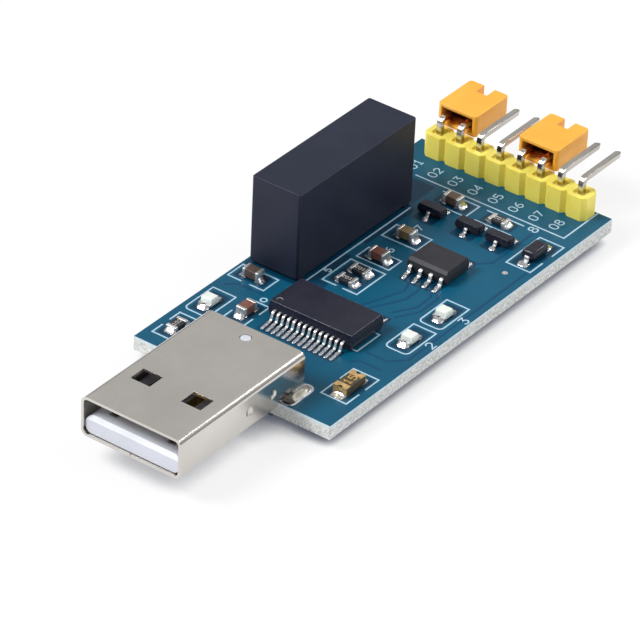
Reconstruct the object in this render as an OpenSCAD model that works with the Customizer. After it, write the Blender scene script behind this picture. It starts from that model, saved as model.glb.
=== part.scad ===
// USB to serial adapter module: a bare circuit board with a through-hole USB plug at one end,
// an isolated voltage converter standing on it, two main chips, and a right-angle pin header
// with two jumper caps at the other end.
//
// The layout is drawn on the board: x runs from the board's plug end towards the header,
// y across the board and z up from its top face. board_frame() moves that layout to the part's
// own origin, which lies under the middle of the module, level with the tips of the trimmed
// leads that the module rests on.

/* [Circuit board] */
// Length of the board
board_len = 48; // [47:0.5:60]
// Width of the board
board_w = 24; // [23.5:0.5:32]
// Thickness of the board
board_t = 1.6; // [1:0.2:2.4]
// How far the trimmed leads stand out below the board
tail_len = 1.2; // [0.9:0.1:2]
// Thickness of the solder film under each surface-mounted lead
solder_film = 0.08; // [0.04:0.01:0.12]

/* [USB plug shell] */
// Length of the steel shell
shell_len = 19.3; // [19.2:0.1:22]
// Outer width of the shell
shell_w = 12; // [11.4:0.1:13]
// Outer height of the shell
shell_h = 4.5; // [4.2:0.1:5]
// Sheet thickness of the shell
shell_t = 0.3; // [0.2:0.05:0.4]
// Outer bend radius of the shell's corners
shell_r = 0.75; // [0.5:0.05:1.1]
// How far the shell reaches over the board
plug_seat = 3.1; // [2.9:0.1:3.6]
// Sideways place of the plug's centre line on the board
plug_y = -0.5; // [-1.5:0.1:1.5]
// Size of each latch window along the plug
window_len = 2.05; // [1.5:0.05:2.6]
// Size of each latch window across the plug
window_w = 2.35; // [1.8:0.05:2.9]
// Distance from the mouth to the latch windows
window_setback = 5.2; // [4.5:0.1:6]
// Distance between the centres of the two latch windows
window_spacing = 6.12; // [4.8:0.02:6.6]
// Width of each soldered leg of the shell
leg_w = 1.65; // [1.3:0.05:2]
// Length of the opening in the shell's side ahead of each leg
relief_len = 2.4; // [1.8:0.1:3]
// Height of that opening
relief_h = 1.6; // [1.2:0.1:2.2]
// Length of each plated slot that a leg goes through
leg_slot_len = 4; // [3:0.1:4.2]
// Width of each plated slot that a leg goes through
leg_slot_w = 1.5; // [1:0.1:1.9]
// Radius of the hole in the shell's roof that locates the plastic insert
roof_hole_r = 0.62; // [0.4:0.02:1]
// Radius of the ball that presses the retaining dimples into the shell's sides
dimple_ball_r = 0.9; // [0.6:0.05:1.4]
// Depth of the retaining dimples
dimple_depth = 0.16; // [0.08:0.02:0.18]
// Width of the folded seam's gap under the shell
seam_gap = 0.08; // [0.05:0.01:0.15]

/* [USB plug insert] */
// Gap between the plastic insert and the shell
insert_gap = 0.07; // [0.03:0.01:0.1]
// Height of the tongue
tongue_h = 1.9; // [1.6:0.05:2.1]
// How far the tongue's front sits behind the shell's mouth
tongue_setback = 0.25; // [0.1:0.05:1]
// Depth from the mouth to the solid part of the insert
plug_depth = 11.9; // [10.5:0.1:12.5]
// Bevel along the tongue's front edge
tongue_bevel = 0.4; // [0.1:0.05:0.8]
// Corner radius of the tongue's section
tongue_r = 0.75; // [0.4:0.05:0.9]
// Width of each contact blade
contact_w = 1; // [0.8:0.05:1.3]
// Thickness of each contact blade
contact_t = 0.25; // [0.15:0.05:0.35]
// Width of each contact's soldered tail
contact_tail_w = 0.6; // [0.4:0.05:0.8]
// Sideways place of the two inner contacts
contact_inner = 1; // [0.95:0.05:1.2]
// Sideways place of the two outer contacts
contact_outer = 3.5; // [3:0.05:3.8]
// How far the outer contacts' pockets start behind the tongue's front
contact_setback = 1.4; // [1:0.1:2]
// Length of the pocket in front of each contact's tip
pocket_len = 0.7; // [0.4:0.05:1]
// Depth of that pocket below the tongue's top
pocket_depth = 0.9; // [0.5:0.05:1.1]
// How much further back the inner contacts start
contact_stagger = 1; // [0.4:0.1:1.5]
// Gap between a contact and the groove that it lies in
contact_gap = 0.03; // [0.02:0.01:0.05]

/* [Isolated converter] */
// Length of the converter's case
converter_len = 19.5; // [18:0.1:21]
// Width of the converter's case
converter_w = 6; // [5:0.1:7]
// Height of the converter's case
converter_h = 10; // [8:0.1:12]
// Wall of the converter's case
converter_wall = 0.7; // [0.4:0.05:1]
// Distance from the board's plug end to the converter
converter_x = 17.7; // [17.2:0.1:18.5]
// Sideways place of the converter's centre line
converter_y = 8.4; // [8:0.1:8.7]
// Height of the feet that hold the case off the board
converter_feet = 0.3; // [0.1:0.05:0.5]
// How far the potting stops short of the case's rim
potting_recess = 0.4; // [0.1:0.05:0.8]
// Pitch of the converter's pin places
converter_pitch = 2.54; // [2:0.02:2.6]

/* [Chips] */
// Length of the bridge chip across the board
bridge_len = 10.2; // [9.9:0.1:10.6]
// Width of the bridge chip's body
bridge_w = 5.3; // [5:0.1:5.8]
// Height of the bridge chip's body
bridge_h = 1.75; // [1.4:0.05:2]
// Distance over the tips of the bridge chip's leads
bridge_span = 7.8; // [7.6:0.1:8.4]
// Distance from the board's plug end to the bridge chip's middle
bridge_x = 13.9; // [13.8:0.1:14.2]
// Sideways place of the bridge chip's middle
bridge_y = -1; // [-1.4:0.1:-0.6]
// Length of the isolator chip across the board
isolator_len = 4.9; // [4.8:0.1:5.4]
// Width of the isolator chip's body
isolator_w = 3.9; // [3.6:0.1:4.2]
// Height of the isolator chip's body
isolator_h = 1.5; // [1.2:0.05:1.8]
// Distance over the tips of the isolator chip's leads
isolator_span = 6; // [5.8:0.1:6.6]
// Distance from the board's plug end to the isolator chip's middle
isolator_x = 28.65; // [28.2:0.05:29]
// Sideways place of the isolator chip's middle
isolator_y = -4; // [-4.4:0.1:-3.8]
// Bevel along the isolator chip's top edge, on the side of its first pin
isolator_bevel = 0.3; // [0.1:0.05:0.4]
// Gap between a chip's body and the board
chip_standoff = 0.15; // [0.1:0.05:0.25]
// Lead pitch of the bridge chip
bridge_pitch = 0.65; // [0.6:0.01:0.68]
// Lead pitch of the isolator chip
isolator_pitch = 1.27; // [1.1:0.01:1.3]

/* [Small parts] */
// Length of the chip capacitors, resistors and lamps
chip_len = 2; // [1.8:0.1:2.2]
// Width of the chip capacitors and resistors
chip_w = 1.25; // [1.1:0.05:1.5]
// Height of the capacitors
capacitor_h = 1; // [0.7:0.05:1.3]
// Height of the resistors
resistor_h = 0.5; // [0.4:0.05:0.7]
// Height of the lamps
lamp_h = 0.8; // [0.7:0.05:1.1]
// Width of the lamps
lamp_w = 1.4; // [1.1:0.05:1.7]
// Length of the metal caps on the ends of those parts
end_cap_len = 0.4; // [0.3:0.05:0.5]
// Thickness of the metal caps
end_cap_t = 0.04; // [0.02:0.01:0.06]
// Length of the fuse
fuse_len = 3.2; // [3:0.1:3.4]
// Width of the fuse
fuse_w = 1.6; // [1.4:0.1:1.9]
// Height of the fuse
fuse_h = 0.9; // [0.6:0.05:1.2]
// Length of the fuse's metal ends
fuse_end_len = 0.75; // [0.5:0.05:1]
// Radius of the plated notch in each end of the fuse
fuse_notch_r = 0.3; // [0.15:0.05:0.45]
// Length of a transistor's body across the board
transistor_len = 2.9; // [2.7:0.1:3.1]
// Width of a transistor's body
transistor_w = 1.3; // [1.2:0.05:1.5]
// Height of a transistor's body
transistor_h = 1; // [0.8:0.05:1.2]
// Length of the diode's body
diode_len = 2.7; // [2.5:0.1:2.9]
// Width of the diode's body
diode_w = 1.6; // [1.4:0.1:1.8]
// Height of the diode's body
diode_h = 1.1; // [0.9:0.05:1.3]

/* [Pin header] */
// Number of pins
pin_count = 8; // [6:1:8]
// Pitch of the pins
pin_pitch = 2.54; // [2.4:0.02:2.6]
// Thickness of the square pins
pin_t = 0.64; // [0.5:0.02:0.7]
// Width of the plastic strip
strip_w = 2.5; // [2.2:0.02:2.54]
// Height of the plastic strip
strip_h = 2.7; // [2.3:0.05:2.9]
// Bevel of the notches between the strip's blocks
strip_notch = 0.45; // [0.2:0.05:0.6]
// Distance from the board's far end to the pin row
header_setback = 1.3; // [1.3:0.1:2]
// Height of the level part of the pins above the board
pin_level = 4.1; // [4.1:0.05:5]
// Radius of the pins' bend, at the middle of the pin
pin_bend_r = 0.66; // [0.5:0.02:0.9]
// How far the pins reach past the board's far end
pin_reach = 5.5; // [5.3:0.1:8]

/* [Jumper caps] */
// Length of a jumper cap along its pins
cap_len = 5.85; // [5.6:0.05:6.2]
// Width of a jumper cap
cap_w = 4.9; // [4.7:0.05:5]
// Thickness of a jumper cap
cap_h = 2.5; // [2.3:0.05:2.7]
// Corner radius of a jumper cap
cap_r = 0.4; // [0.2:0.05:0.7]
// Width of the socket in a jumper cap
socket_w = 3.9; // [3.7:0.05:4]
// Height of the socket in a jumper cap
socket_h = 1.7; // [1.5:0.05:1.8]
// Depth of the socket in a jumper cap
socket_depth = 3.9; // [3.6:0.05:4]
// Width of the notch in a jumper cap's outer end
notch_w = 1.3; // [0.8:0.05:1.5]
// Depth of the notch in a jumper cap's outer end
notch_depth = 1.5; // [1:0.05:1.6]
// Gap between a pin tip and the jumper cap's outer end
cap_cover = 0.1; // [0:0.05:0.4]
// Sheet thickness of the spring clip inside a cap
clip_t = 0.2; // [0.12:0.02:0.24]

/* [Hidden] */
$fn = 48;
// Steps in each bend of a bent strip
BEND_STEPS = 3;
// Smallest gap between solder and the metal that it wets
WET_GAP = 0.01;
// Length added to a cut so that it runs clear of the face that it starts from
CUT = 0.5;
// How far one part of a moulding runs into the next, so that they join
LAP = 1;

// Small parts by place on the board: [x, y], each measured to the part's middle
CAPACITORS = [[10.35, 6.1], [15.8, 9.4], [26.6, 1.8], [31.55, 1.95], [39.85, 2.1]];
CAPACITOR_TURNS = [0, 90, 90, 90, 90];
RESISTORS = [[3.95, 9.75], [21.15, 1.75], [23.35, 1.75], [39.9, -3.6]];
RESISTOR_TURNS = [0, 90, 90, 90];
LAMPS = [[9.35, 9.9], [16.75, -9.2], [22.5, -9.2]];
TRANSISTORS = [[36.85, 2.6], [36.85, -2.1], [36.85, -5.8]];
DIODE = [37.25, -9.85];
FUSE = [6.4, -9.5];

// Pins of the converter that are fitted, out of a row of seven places
CONVERTER_PINS = [0, 1, 3, 5];
CONVERTER_PLACES = 7;
// Section of a converter pin, along and across the board, and its length inside the potting
converter_pin = [0.5, 0.3];
converter_pin_in = 1;
// Corner radius of the converter's case, and the length of each foot under it
converter_edge_r = 0.25;
converter_foot_len = 0.9;

// Gap round a pin inside a jumper cap, and between the clip's leaves and the socket
cap_pin_gap = 0.1;
clip_gap = 0.02;
// Spring clip: how far its mouth flares, and where its leaves bend, from the socket end
clip_flare = 0.25;
CLIP_STATIONS = [0.35, 1.1, 1.9, 2.5];
// Clip's bend radius and the length of the slot in its web, both in sheet thicknesses
CLIP_BEND = 0.8;
CLIP_SLOT = 6;

// Chip leads: [width, thickness, length of the foot]
BRIDGE_LEAD = [0.3, 0.17, 0.62];
ISOLATOR_LEAD = [0.42, 0.22, 0.7];
TRANSISTOR_LEAD = [0.42, 0.12, 0.35];
DIODE_LEAD = [0.6, 0.12, 0.4];
// A lead's bend radius in lead thicknesses, and its knee's place on the way from body to foot
LEAD_BEND = 0.75;
LEAD_KNEE = 0.6;
// Leads on each side of the two chips
bridge_side = 14;
isolator_side = 4;
// Distance over the lead tips of a transistor and of the diode
transistor_span = 2.5;
diode_span = 3.8;
// Distance from a transistor's middle to each of the two leads on its paired side
transistor_lead_y = 0.95;
// How far the faces of a moulded body lean in, and how high up it the leads come out
chip_draft = 0.13;
lead_exit_part = 0.48;
// Size of the moulded dot by a chip's first pin
pin_one_r = 0.32;
pin_one_depth = 0.05;
// Height of a lamp's base, and how far the sides and ends of its lens lean in
lamp_base_h = 0.3;
lens_draft = 0.1;
// How high the solder climbs the ends of the small parts
CAPACITOR_RISE = 0.6;
RESISTOR_RISE = 0.45;
LAMP_RISE = 0.3;
FUSE_RISE = 0.55;
// How much wider than its lead or part a joint is
joint_spread = 0.1;
// Width of the joints at the transistors' and the diode's leads
transistor_joint_w = 0.7;
diode_joint_w = 1.2;
// How high solder climbs a lead's foot, in lead thicknesses, and a joint's outer edge, in films
LEAD_WET = 0.8;
JOINT_EDGE = 0.6;
// How far the solder runs out past the ends of the small parts and past the lead tips
end_run = 0.5;
bridge_run = 1.05;
isolator_run = 0.5;
transistor_run = 0.4;
diode_run = 0.6;

// Seam under the shell: tab length, how far the tabs widen, where they start, and the bend radius
SEAM_TAB = 1.1;
SEAM_FLARE = 0.25;
SEAM_PLACES = [0.28, 0.62];
SEAM_BEND = 0.12;
// Chamfers at the tips of the shell's legs and of the header pins
leg_chamfer = 0.45;
pin_chamfer = 0.5;
// Width of a header pin's flat tip, as a part of its thickness
pin_tip_part = 0.4;

// How far the insert's rear face, its locating stud and its tails' row sit ahead of the shell's end
insert_inset = 0.4;
roof_hole_inset = 1.6;
contact_pin_inset = 1.9;
// How far the legs' rear edge sits ahead of the shell's end
leg_inset = 0.05;
// How deep the insert is recessed behind the opening ahead of each leg
relief_recess = 0.9;
// How far each leg's slot reaches behind the shell
leg_slot_over = 1.1;
// How far the locating stud stops below the roof
stud_drop = 0.08;
// The shell's floor is cut away from a little ahead of the contact tails, between two side strips
floor_cut_lead = 1.2;
floor_strip_w = 1.3;
// Distances from the mouth to the retaining dimples
dimple_setbacks = [10.6, 14.3];
// Bend radius at the middle of a contact blade, and how far above the insert's underside it narrows
contact_bend_r = 0.35;
contact_shoulder = 0.4;
// How much of its pocket each contact leaves open
POCKET_OPEN = 0.8;

// Plated holes for the contacts, the converter and the header
contact_hole_r = 0.5;
converter_hole_r = 0.45;
header_hole_r = 0.5;
// Height of the solder below the board, its radius at the lead and its spread, in hole radii
fillet_h = 0.7;
FILLET_TOP = 0.75;
FILLET_SPREAD = 1.15;
// Solder at a leg: how far it fills the slot ahead of the leg, and how far its bank spreads
leg_fill = 0.25;
leg_bank = 0.5;

// Places that follow from the driving sizes
plug_reach = shell_len - plug_seat;
plug_mouth = -plug_reach;
plug_rear = plug_seat;
insert_rear = plug_rear - insert_inset;
insert_face = plug_mouth + plug_depth;
tongue_front = plug_mouth + tongue_setback;
insert_bottom = shell_t + insert_gap;
insert_top = shell_h - shell_t - insert_gap;
tongue_top = shell_t + insert_gap + tongue_h;
contact_z = tongue_top - contact_t / 2;
contact_pin_x = plug_rear - contact_pin_inset;
contact_ys = [for (y = [-contact_outer, -contact_inner, contact_inner, contact_outer]) plug_y + y];
pocket_starts = [for (back = [0, 1, 1, 0]) tongue_front + contact_setback + back * contact_stagger];
contact_starts = [for (x = pocket_starts) x + pocket_len * POCKET_OPEN];
roof_hole_x = plug_rear - roof_hole_inset;
leg_rear = plug_rear - leg_inset;
leg_front = leg_rear - leg_w;
relief_front = leg_front - relief_len;
leg_ys = [for (s = [-1, 1]) plug_y + s * (shell_w - shell_t) / 2];
leg_slot_x = plug_rear + leg_slot_over - leg_slot_len / 2;
floor_z = -board_t - tail_len;
header_x = board_len - header_setback;
pin_tip = board_len + pin_reach;
cap_end = pin_tip + cap_cover;
cap_front = cap_end - cap_len;
shift_x = (cap_end - plug_reach) / 2;
converter_mid = converter_x + converter_len / 2;
potting_z = converter_feet + potting_recess;

function header_pin_y(i) = ((pin_count - 1) / 2 - i) * pin_pitch;
function jumper_y(first) = header_pin_y(first) - pin_pitch / 2;
function converter_pin_x(place) = converter_mid + (place - (CONVERTER_PLACES - 1) / 2) * converter_pitch;

// Geometry helpers

// Moves the board layout to the part's own origin
module board_frame() {
    translate([-shift_x, 0, -floor_z]) children();
}

// Extrudes an outline drawn across the board (y, z) along x
module along_x(length) {
    rotate([90, 0, 90]) linear_extrude(length) children();
}

// Extrudes an outline drawn along the board (x, z) across it, centred on y = 0
module along_y(width) {
    rotate([90, 0, 0]) linear_extrude(width, center = true) children();
}

// A box that is centred in x and y and stands on z = 0
module standing_box(size) {
    translate([-size[0] / 2, -size[1] / 2, 0]) cube(size);
}

module rounded_rect(x, y, r) {
    square([x - 2 * r, y], center = true);
    square([x, y - 2 * r], center = true);
    for (sx = [-1, 1], sy = [-1, 1]) {
        translate([sx * (x / 2 - r), sy * (y / 2 - r)]) circle(r);
    }
}

// A slot outline with round ends, along x
module stadium(length, width) {
    square([length - width, width], center = true);
    for (s = [-1, 1]) {
        translate([s * (length - width) / 2, 0]) circle(width / 2);
    }
}

function unit(v) = v / norm(v);
function left_of(v) = [-v[1], v[0]];
function spun(v, a) = [v[0] * cos(a) - v[1] * sin(a), v[0] * sin(a) + v[1] * cos(a)];
function turn_between(a, b) = atan2(a[0] * b[1] - a[1] * b[0], a * b);

// One side of a bend at p, where a strip turns from direction a to direction b
function bend(p, a, b, r, side) =
    let (turn = turn_between(a, b), hand = sign(turn))
    let (start = p - a * r * tan(abs(turn) / 2), centre = start + left_of(a) * hand * r)
    [for (k = [0:BEND_STEPS]) centre - spun(left_of(a), turn * k / BEND_STEPS) * (hand * r - side)];

function strip_side(path, r, side) =
    let (n = len(path) - 1)
    concat(
        [path[0] + left_of(unit(path[1] - path[0])) * side],
        [for (i = [1:n - 1]) each
            bend(path[i], unit(path[i] - path[i - 1]), unit(path[i + 1] - path[i]), r, side)],
        [path[n] + left_of(unit(path[n] - path[n - 1])) * side]
    );

function reversed(list) = [for (i = [len(list) - 1:-1:0]) list[i]];

// Outline of a strip of sheet or wire that follows a path, with its bends rounded
function strip(path, r, t) = concat(strip_side(path, r, t / 2), reversed(strip_side(path, r, -t / 2)));

// Circuit board

module leg_slot(grow) {
    stadium(leg_slot_len + 2 * grow, leg_slot_w + 2 * grow);
}

module circuit_board() {
    color("#20607f") board_frame() difference() {
        translate([0, -board_w / 2, -board_t]) cube([board_len, board_w, board_t]);
        translate([0, 0, -board_t - CUT]) linear_extrude(board_t + 2 * CUT) {
            for (y = leg_ys) {
                translate([leg_slot_x, y]) leg_slot(0);
            }
            for (y = contact_ys) {
                translate([contact_pin_x, y]) circle(contact_hole_r);
            }
            for (place = CONVERTER_PINS) {
                translate([converter_pin_x(place), converter_y]) circle(converter_hole_r);
            }
            for (i = [0:pin_count - 1]) {
                translate([header_x, header_pin_y(i)]) circle(header_hole_r);
            }
        }
    }
}

// USB plug

// The folded seam: a narrow gap that runs back from the mouth round two interlocking tabs
module seam_line() {
    path = concat(
        [[-CUT, 0]],
        [for (i = [0:1]) let (x = plug_reach * SEAM_PLACES[i], s = i == 0 ? 1 : -1) each [
            [x, 0],
            [x - SEAM_FLARE, s * SEAM_TAB],
            [x + SEAM_TAB + SEAM_FLARE, s * SEAM_TAB],
            [x + SEAM_TAB, 0]
        ]],
        [[plug_reach + CUT, 0]]
    );
    polygon(strip(path, SEAM_BEND, seam_gap));
}

module shell_leg(y) {
    translate([0, y, 0]) along_y(shell_t) polygon([
        [leg_front, shell_r + shell_t],
        [leg_rear, shell_r + shell_t],
        [leg_rear, floor_z + leg_chamfer],
        [leg_rear - leg_chamfer, floor_z],
        [leg_front + leg_chamfer, floor_z],
        [leg_front, floor_z + leg_chamfer]
    ]);
}

// Plan of the opening ahead of a leg, seen from the side: round at its front end
module relief_side(grow) {
    r = relief_h / 2;
    hull() {
        translate([relief_front + r, r]) circle(r + grow);
        translate([relief_front + r, -grow]) square([leg_front - relief_front - r, relief_h + 2 * grow]);
    }
}

// The opening in both sides, cut inward to a depth
module side_reliefs(grow, depth) {
    for (s = [-1, 1]) {
        translate([0, plug_y + s * (shell_w / 2 + CUT - (depth + CUT) / 2), 0])
            rotate([90, 0, 0]) linear_extrude(depth + CUT, center = true) relief_side(grow);
    }
}

module side_dimples() {
    for (x = dimple_setbacks, s = [-1, 1]) {
        translate([plug_mouth + x, plug_y + s * (shell_w / 2 + dimple_ball_r - dimple_depth), shell_h / 2])
            sphere(dimple_ball_r);
    }
}

module usb_shell() {
    color("#b9b5ae") board_frame() {
        difference() {
            translate([plug_mouth, plug_y, shell_h / 2]) along_x(shell_len) difference() {
                rounded_rect(shell_w, shell_h, shell_r);
                rounded_rect(shell_w - 2 * shell_t, shell_h - 2 * shell_t, shell_r - shell_t);
            }
            // Latch windows, through the roof and the floor
            for (s = [-1, 1]) {
                window_y = plug_y + s * window_spacing / 2 - window_w / 2;
                translate([plug_mouth + window_setback, window_y, -CUT])
                    cube([window_len, window_w, shell_h + 2 * CUT]);
            }
            translate([roof_hole_x, plug_y, shell_h / 2]) cylinder(h = shell_h, r = roof_hole_r);
            // The floor is cut away where the contact tails go down
            translate([contact_pin_x - floor_cut_lead, plug_y - shell_w / 2 + floor_strip_w, -CUT])
                cube([shell_len, shell_w - 2 * floor_strip_w, shell_t + 2 * CUT]);
            side_dimples();
            side_reliefs(0, shell_r);
            translate([plug_mouth, plug_y, -CUT]) linear_extrude(shell_t + 2 * CUT) seam_line();
        }
        for (y = leg_ys) {
            shell_leg(y);
        }
    }
}

function contact_path(i) = [
    [contact_starts[i], contact_z],
    [contact_pin_x, contact_z],
    [contact_pin_x, floor_z]
];

module contact_blade(i, gap) {
    translate([0, contact_ys[i], 0]) along_y(contact_w + 2 * gap)
        polygon(strip(contact_path(i), contact_bend_r, contact_t + 2 * gap));
}

module usb_insert() {
    inner_w = shell_w - 2 * shell_t - 2 * insert_gap;
    inner_h = insert_top - insert_bottom;
    groove_w = contact_w + 2 * contact_gap;
    color("#f1f1ee") board_frame() {
        difference() {
            union() {
                // Tongue: a rounded bar with a bevelled front edge
                intersection() {
                    translate([tongue_front, plug_y, insert_bottom + tongue_h / 2])
                        along_x(insert_face - tongue_front + LAP) rounded_rect(inner_w, tongue_h, tongue_r);
                    translate([0, plug_y, 0]) along_y(shell_w) polygon([
                        [tongue_front, 0],
                        [tongue_front, tongue_top - tongue_bevel],
                        [tongue_front + tongue_bevel, tongue_top],
                        [insert_rear, tongue_top],
                        [insert_rear, 0]
                    ]);
                }
                translate([insert_face, plug_y, shell_h / 2]) along_x(insert_rear - insert_face)
                    rounded_rect(inner_w, inner_h, shell_r - shell_t);
            }
            for (i = [0:3]) {
                contact_blade(i, contact_gap);
                // The groove is open above the blade as far back as the solid part
                translate([contact_starts[i] - contact_gap, contact_ys[i] - groove_w / 2, contact_z])
                    cube([insert_face - contact_starts[i], groove_w, contact_t]);
                translate([pocket_starts[i], contact_ys[i] - groove_w / 2, tongue_top - pocket_depth])
                    cube([pocket_len, groove_w, pocket_depth + CUT]);
            }
            side_reliefs(insert_gap, shell_t + insert_gap + relief_recess);
        }
        translate([roof_hole_x, plug_y, insert_top])
            cylinder(h = insert_gap + shell_t - stud_drop, r = roof_hole_r - insert_gap);
    }
}

module usb_contact(i) {
    shoulder = insert_bottom + contact_shoulder;
    side = (contact_w - contact_tail_w) / 2;
    color("#d8b45c") board_frame() difference() {
        contact_blade(i, 0);
        // Below its shoulder the blade narrows to the soldered tail
        for (s = [-1, 1]) {
            translate([contact_pin_x, contact_ys[i] + s * (contact_tail_w + side + CUT) / 2, floor_z - CUT])
                standing_box([contact_t + CUT, side + CUT, shoulder - floor_z + CUT]);
        }
    }
}

// Isolated converter

module converter_case() {
    inner = [converter_len - 2 * converter_wall, converter_w - 2 * converter_wall];
    color("#23252b") board_frame() translate([converter_mid, converter_y, 0]) {
        difference() {
            translate([0, 0, converter_feet]) linear_extrude(converter_h)
                rounded_rect(converter_len, converter_w, converter_edge_r);
            translate([0, 0, converter_feet - CUT])
                standing_box([each inner, converter_h - converter_wall + CUT]);
        }
        for (sx = [-1, 1], sy = [-1, 1]) {
            foot_x = converter_len / 2 - converter_foot_len;
            translate([sx * foot_x, sy * (converter_w - converter_wall) / 2, 0])
                standing_box([converter_foot_len, converter_wall, converter_feet]);
        }
    }
}

module converter_pin_row() {
    for (place = CONVERTER_PINS) {
        translate([converter_pin_x(place), converter_y, floor_z])
            standing_box([each converter_pin, potting_z + converter_pin_in - floor_z]);
    }
}

module converter_potting() {
    inner = [converter_len - 2 * converter_wall, converter_w - 2 * converter_wall];
    color("#18181a") board_frame() difference() {
        translate([converter_mid, converter_y, potting_z])
            standing_box([each inner, converter_feet + converter_h - converter_wall - potting_z]);
        converter_pin_row();
    }
}

module converter_pins() {
    color("#c9c9c6") board_frame() converter_pin_row();
}

// Moulded chips with bent leads

// Side view of a moulded body: drafted faces above and below an upright band at the leads,
// with a bevel along one top edge where a chip has one
module body_profile(width, low, high, band_low, band_high, bevel = 0) {
    half = width / 2;
    lean = chip_draft * bevel / (high - band_high);
    polygon(concat(
        [
            [-half + chip_draft, low],
            [half - chip_draft, low],
            [half, band_low],
            [half, band_high],
            [half - chip_draft, high],
            [-half + chip_draft + bevel, high]
        ],
        bevel > 0 ? [[-half + chip_draft - lean, high - bevel]] : [],
        [
            [-half, band_high],
            [-half, band_low]
        ]
    ));
}

function lead_exit(low, high) = low + (high - low) * lead_exit_part;

module moulded_body(width, length, low, height, lead_t, bevel = 0) {
    mid = lead_exit(low, low + height);
    intersection() {
        along_y(length) body_profile(width, low, low + height, mid - lead_t, mid + lead_t, bevel);
        translate([-width, 0, 0]) along_x(2 * width)
            body_profile(length, low, low + height, mid - lead_t, mid + lead_t);
    }
}

module chip_body(place, width, length, height, lead_t, bevel = 0) {
    dot_inset = 2.5 * pin_one_r + bevel;
    color("#2b2c30") board_frame() translate([place[0], place[1], 0]) difference() {
        moulded_body(width, length, chip_standoff, height, lead_t, bevel);
        translate([dot_inset - width / 2, length / 2 - dot_inset, chip_standoff + height - pin_one_depth])
            cylinder(h = CUT, r = pin_one_r);
    }
}

// One lead that leaves the body at x = half, steps down and ends in a flat foot at x = reach
module bent_lead(half, reach, exit_z, lead) {
    foot_z = solder_film + lead[1] / 2;
    ankle = reach - lead[2];
    knee = half + (ankle - half) * LEAD_KNEE;
    along_y(lead[0]) polygon(strip([[half, exit_z], [knee, exit_z], [ankle, foot_z], [reach, foot_z]],
        lead[1] * LEAD_BEND, lead[1]));
}

module lead_set(width, span, low, height, lead, near_ys, far_ys) {
    exit_z = lead_exit(low, low + height);
    for (y = near_ys) {
        translate([0, y, 0]) mirror([1, 0, 0]) bent_lead(width / 2, span / 2, exit_z, lead);
    }
    for (y = far_ys) {
        translate([0, y, 0]) bent_lead(width / 2, span / 2, exit_z, lead);
    }
}

function row_ys(count, pitch) = [for (i = [0:count - 1]) (i - (count - 1) / 2) * pitch];
bridge_ys = row_ys(bridge_side, bridge_pitch);
isolator_ys = row_ys(isolator_side, isolator_pitch);
transistor_ys = [-transistor_lead_y, transistor_lead_y];

module bridge_chip_body() {
    chip_body([bridge_x, bridge_y], bridge_w, bridge_len, bridge_h, BRIDGE_LEAD[1]);
}

module chip_leads(place, width, span, height, lead, ys) {
    color("#cfd0d2") board_frame() translate([place[0], place[1], 0])
        lead_set(width, span, chip_standoff, height, lead, ys, ys);
}

module bridge_chip_leads() {
    chip_leads([bridge_x, bridge_y], bridge_w, bridge_span, bridge_h, BRIDGE_LEAD, bridge_ys);
}

module isolator_chip_body() {
    chip_body([isolator_x, isolator_y], isolator_w, isolator_len, isolator_h, ISOLATOR_LEAD[1], isolator_bevel);
}

module isolator_chip_leads() {
    chip_leads([isolator_x, isolator_y], isolator_w, isolator_span, isolator_h, ISOLATOR_LEAD, isolator_ys);
}

module transistor_body(i) {
    color("#26272a") board_frame() translate([each TRANSISTORS[i], 0])
        moulded_body(transistor_w, transistor_len, solder_film, transistor_h, TRANSISTOR_LEAD[1]);
}

module transistor_leads(i) {
    color("#d4d4d2") board_frame() translate([each TRANSISTORS[i], 0])
        lead_set(transistor_w, transistor_span, solder_film, transistor_h, TRANSISTOR_LEAD,
            [0], transistor_ys);
}

module diode_body() {
    color("#1f2024") board_frame() translate([each DIODE, 0])
        moulded_body(diode_len, diode_w, solder_film, diode_h, DIODE_LEAD[1]);
}

module diode_leads() {
    color("#d4d4d2") board_frame() translate([each DIODE, 0])
        lead_set(diode_len, diode_span, solder_film, diode_h, DIODE_LEAD, [0], [0]);
}

// Two-ended chip parts

module block_core(length, width, height) {
    translate([0, 0, solder_film + end_cap_t])
        standing_box([length - 2 * end_cap_t, width - 2 * end_cap_t, height - 2 * end_cap_t]);
}

// Metal caps that wrap both ends of a block
module block_ends(length, width, height, cap) {
    difference() {
        for (s = [-1, 1]) {
            translate([s * (length - cap) / 2, 0, solder_film]) standing_box([cap, width, height]);
        }
        block_core(length, width, height);
    }
}

module placed(place, turn) {
    board_frame() translate([place[0], place[1], 0]) rotate([0, 0, turn]) children();
}

module capacitor_body(i) {
    color("#7d5a4c") placed(CAPACITORS[i], CAPACITOR_TURNS[i]) block_core(chip_len, chip_w, capacitor_h);
}

module capacitor_ends(i) {
    color("#d2d3d3") placed(CAPACITORS[i], CAPACITOR_TURNS[i])
        block_ends(chip_len, chip_w, capacitor_h, end_cap_len);
}

module resistor_body(i) {
    color("#33343a") placed(RESISTORS[i], RESISTOR_TURNS[i]) block_core(chip_len, chip_w, resistor_h);
}

module resistor_ends(i) {
    color("#d2d3d3") placed(RESISTORS[i], RESISTOR_TURNS[i])
        block_ends(chip_len, chip_w, resistor_h, end_cap_len);
}

// The round notches in the fuse's ends
module fuse_notches(r) {
    for (s = [-1, 1]) {
        translate([s * fuse_len / 2, 0, 0]) cylinder(h = fuse_h + CUT, r = r);
    }
}

module fuse_core() {
    difference() {
        translate([0, 0, solder_film + end_cap_t])
            standing_box([fuse_len - 2 * end_cap_t, fuse_w, fuse_h - 2 * end_cap_t]);
        fuse_notches(fuse_notch_r + end_cap_t);
    }
}

module fuse_body() {
    color("#55583f") placed(FUSE, 0) fuse_core();
}

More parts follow.
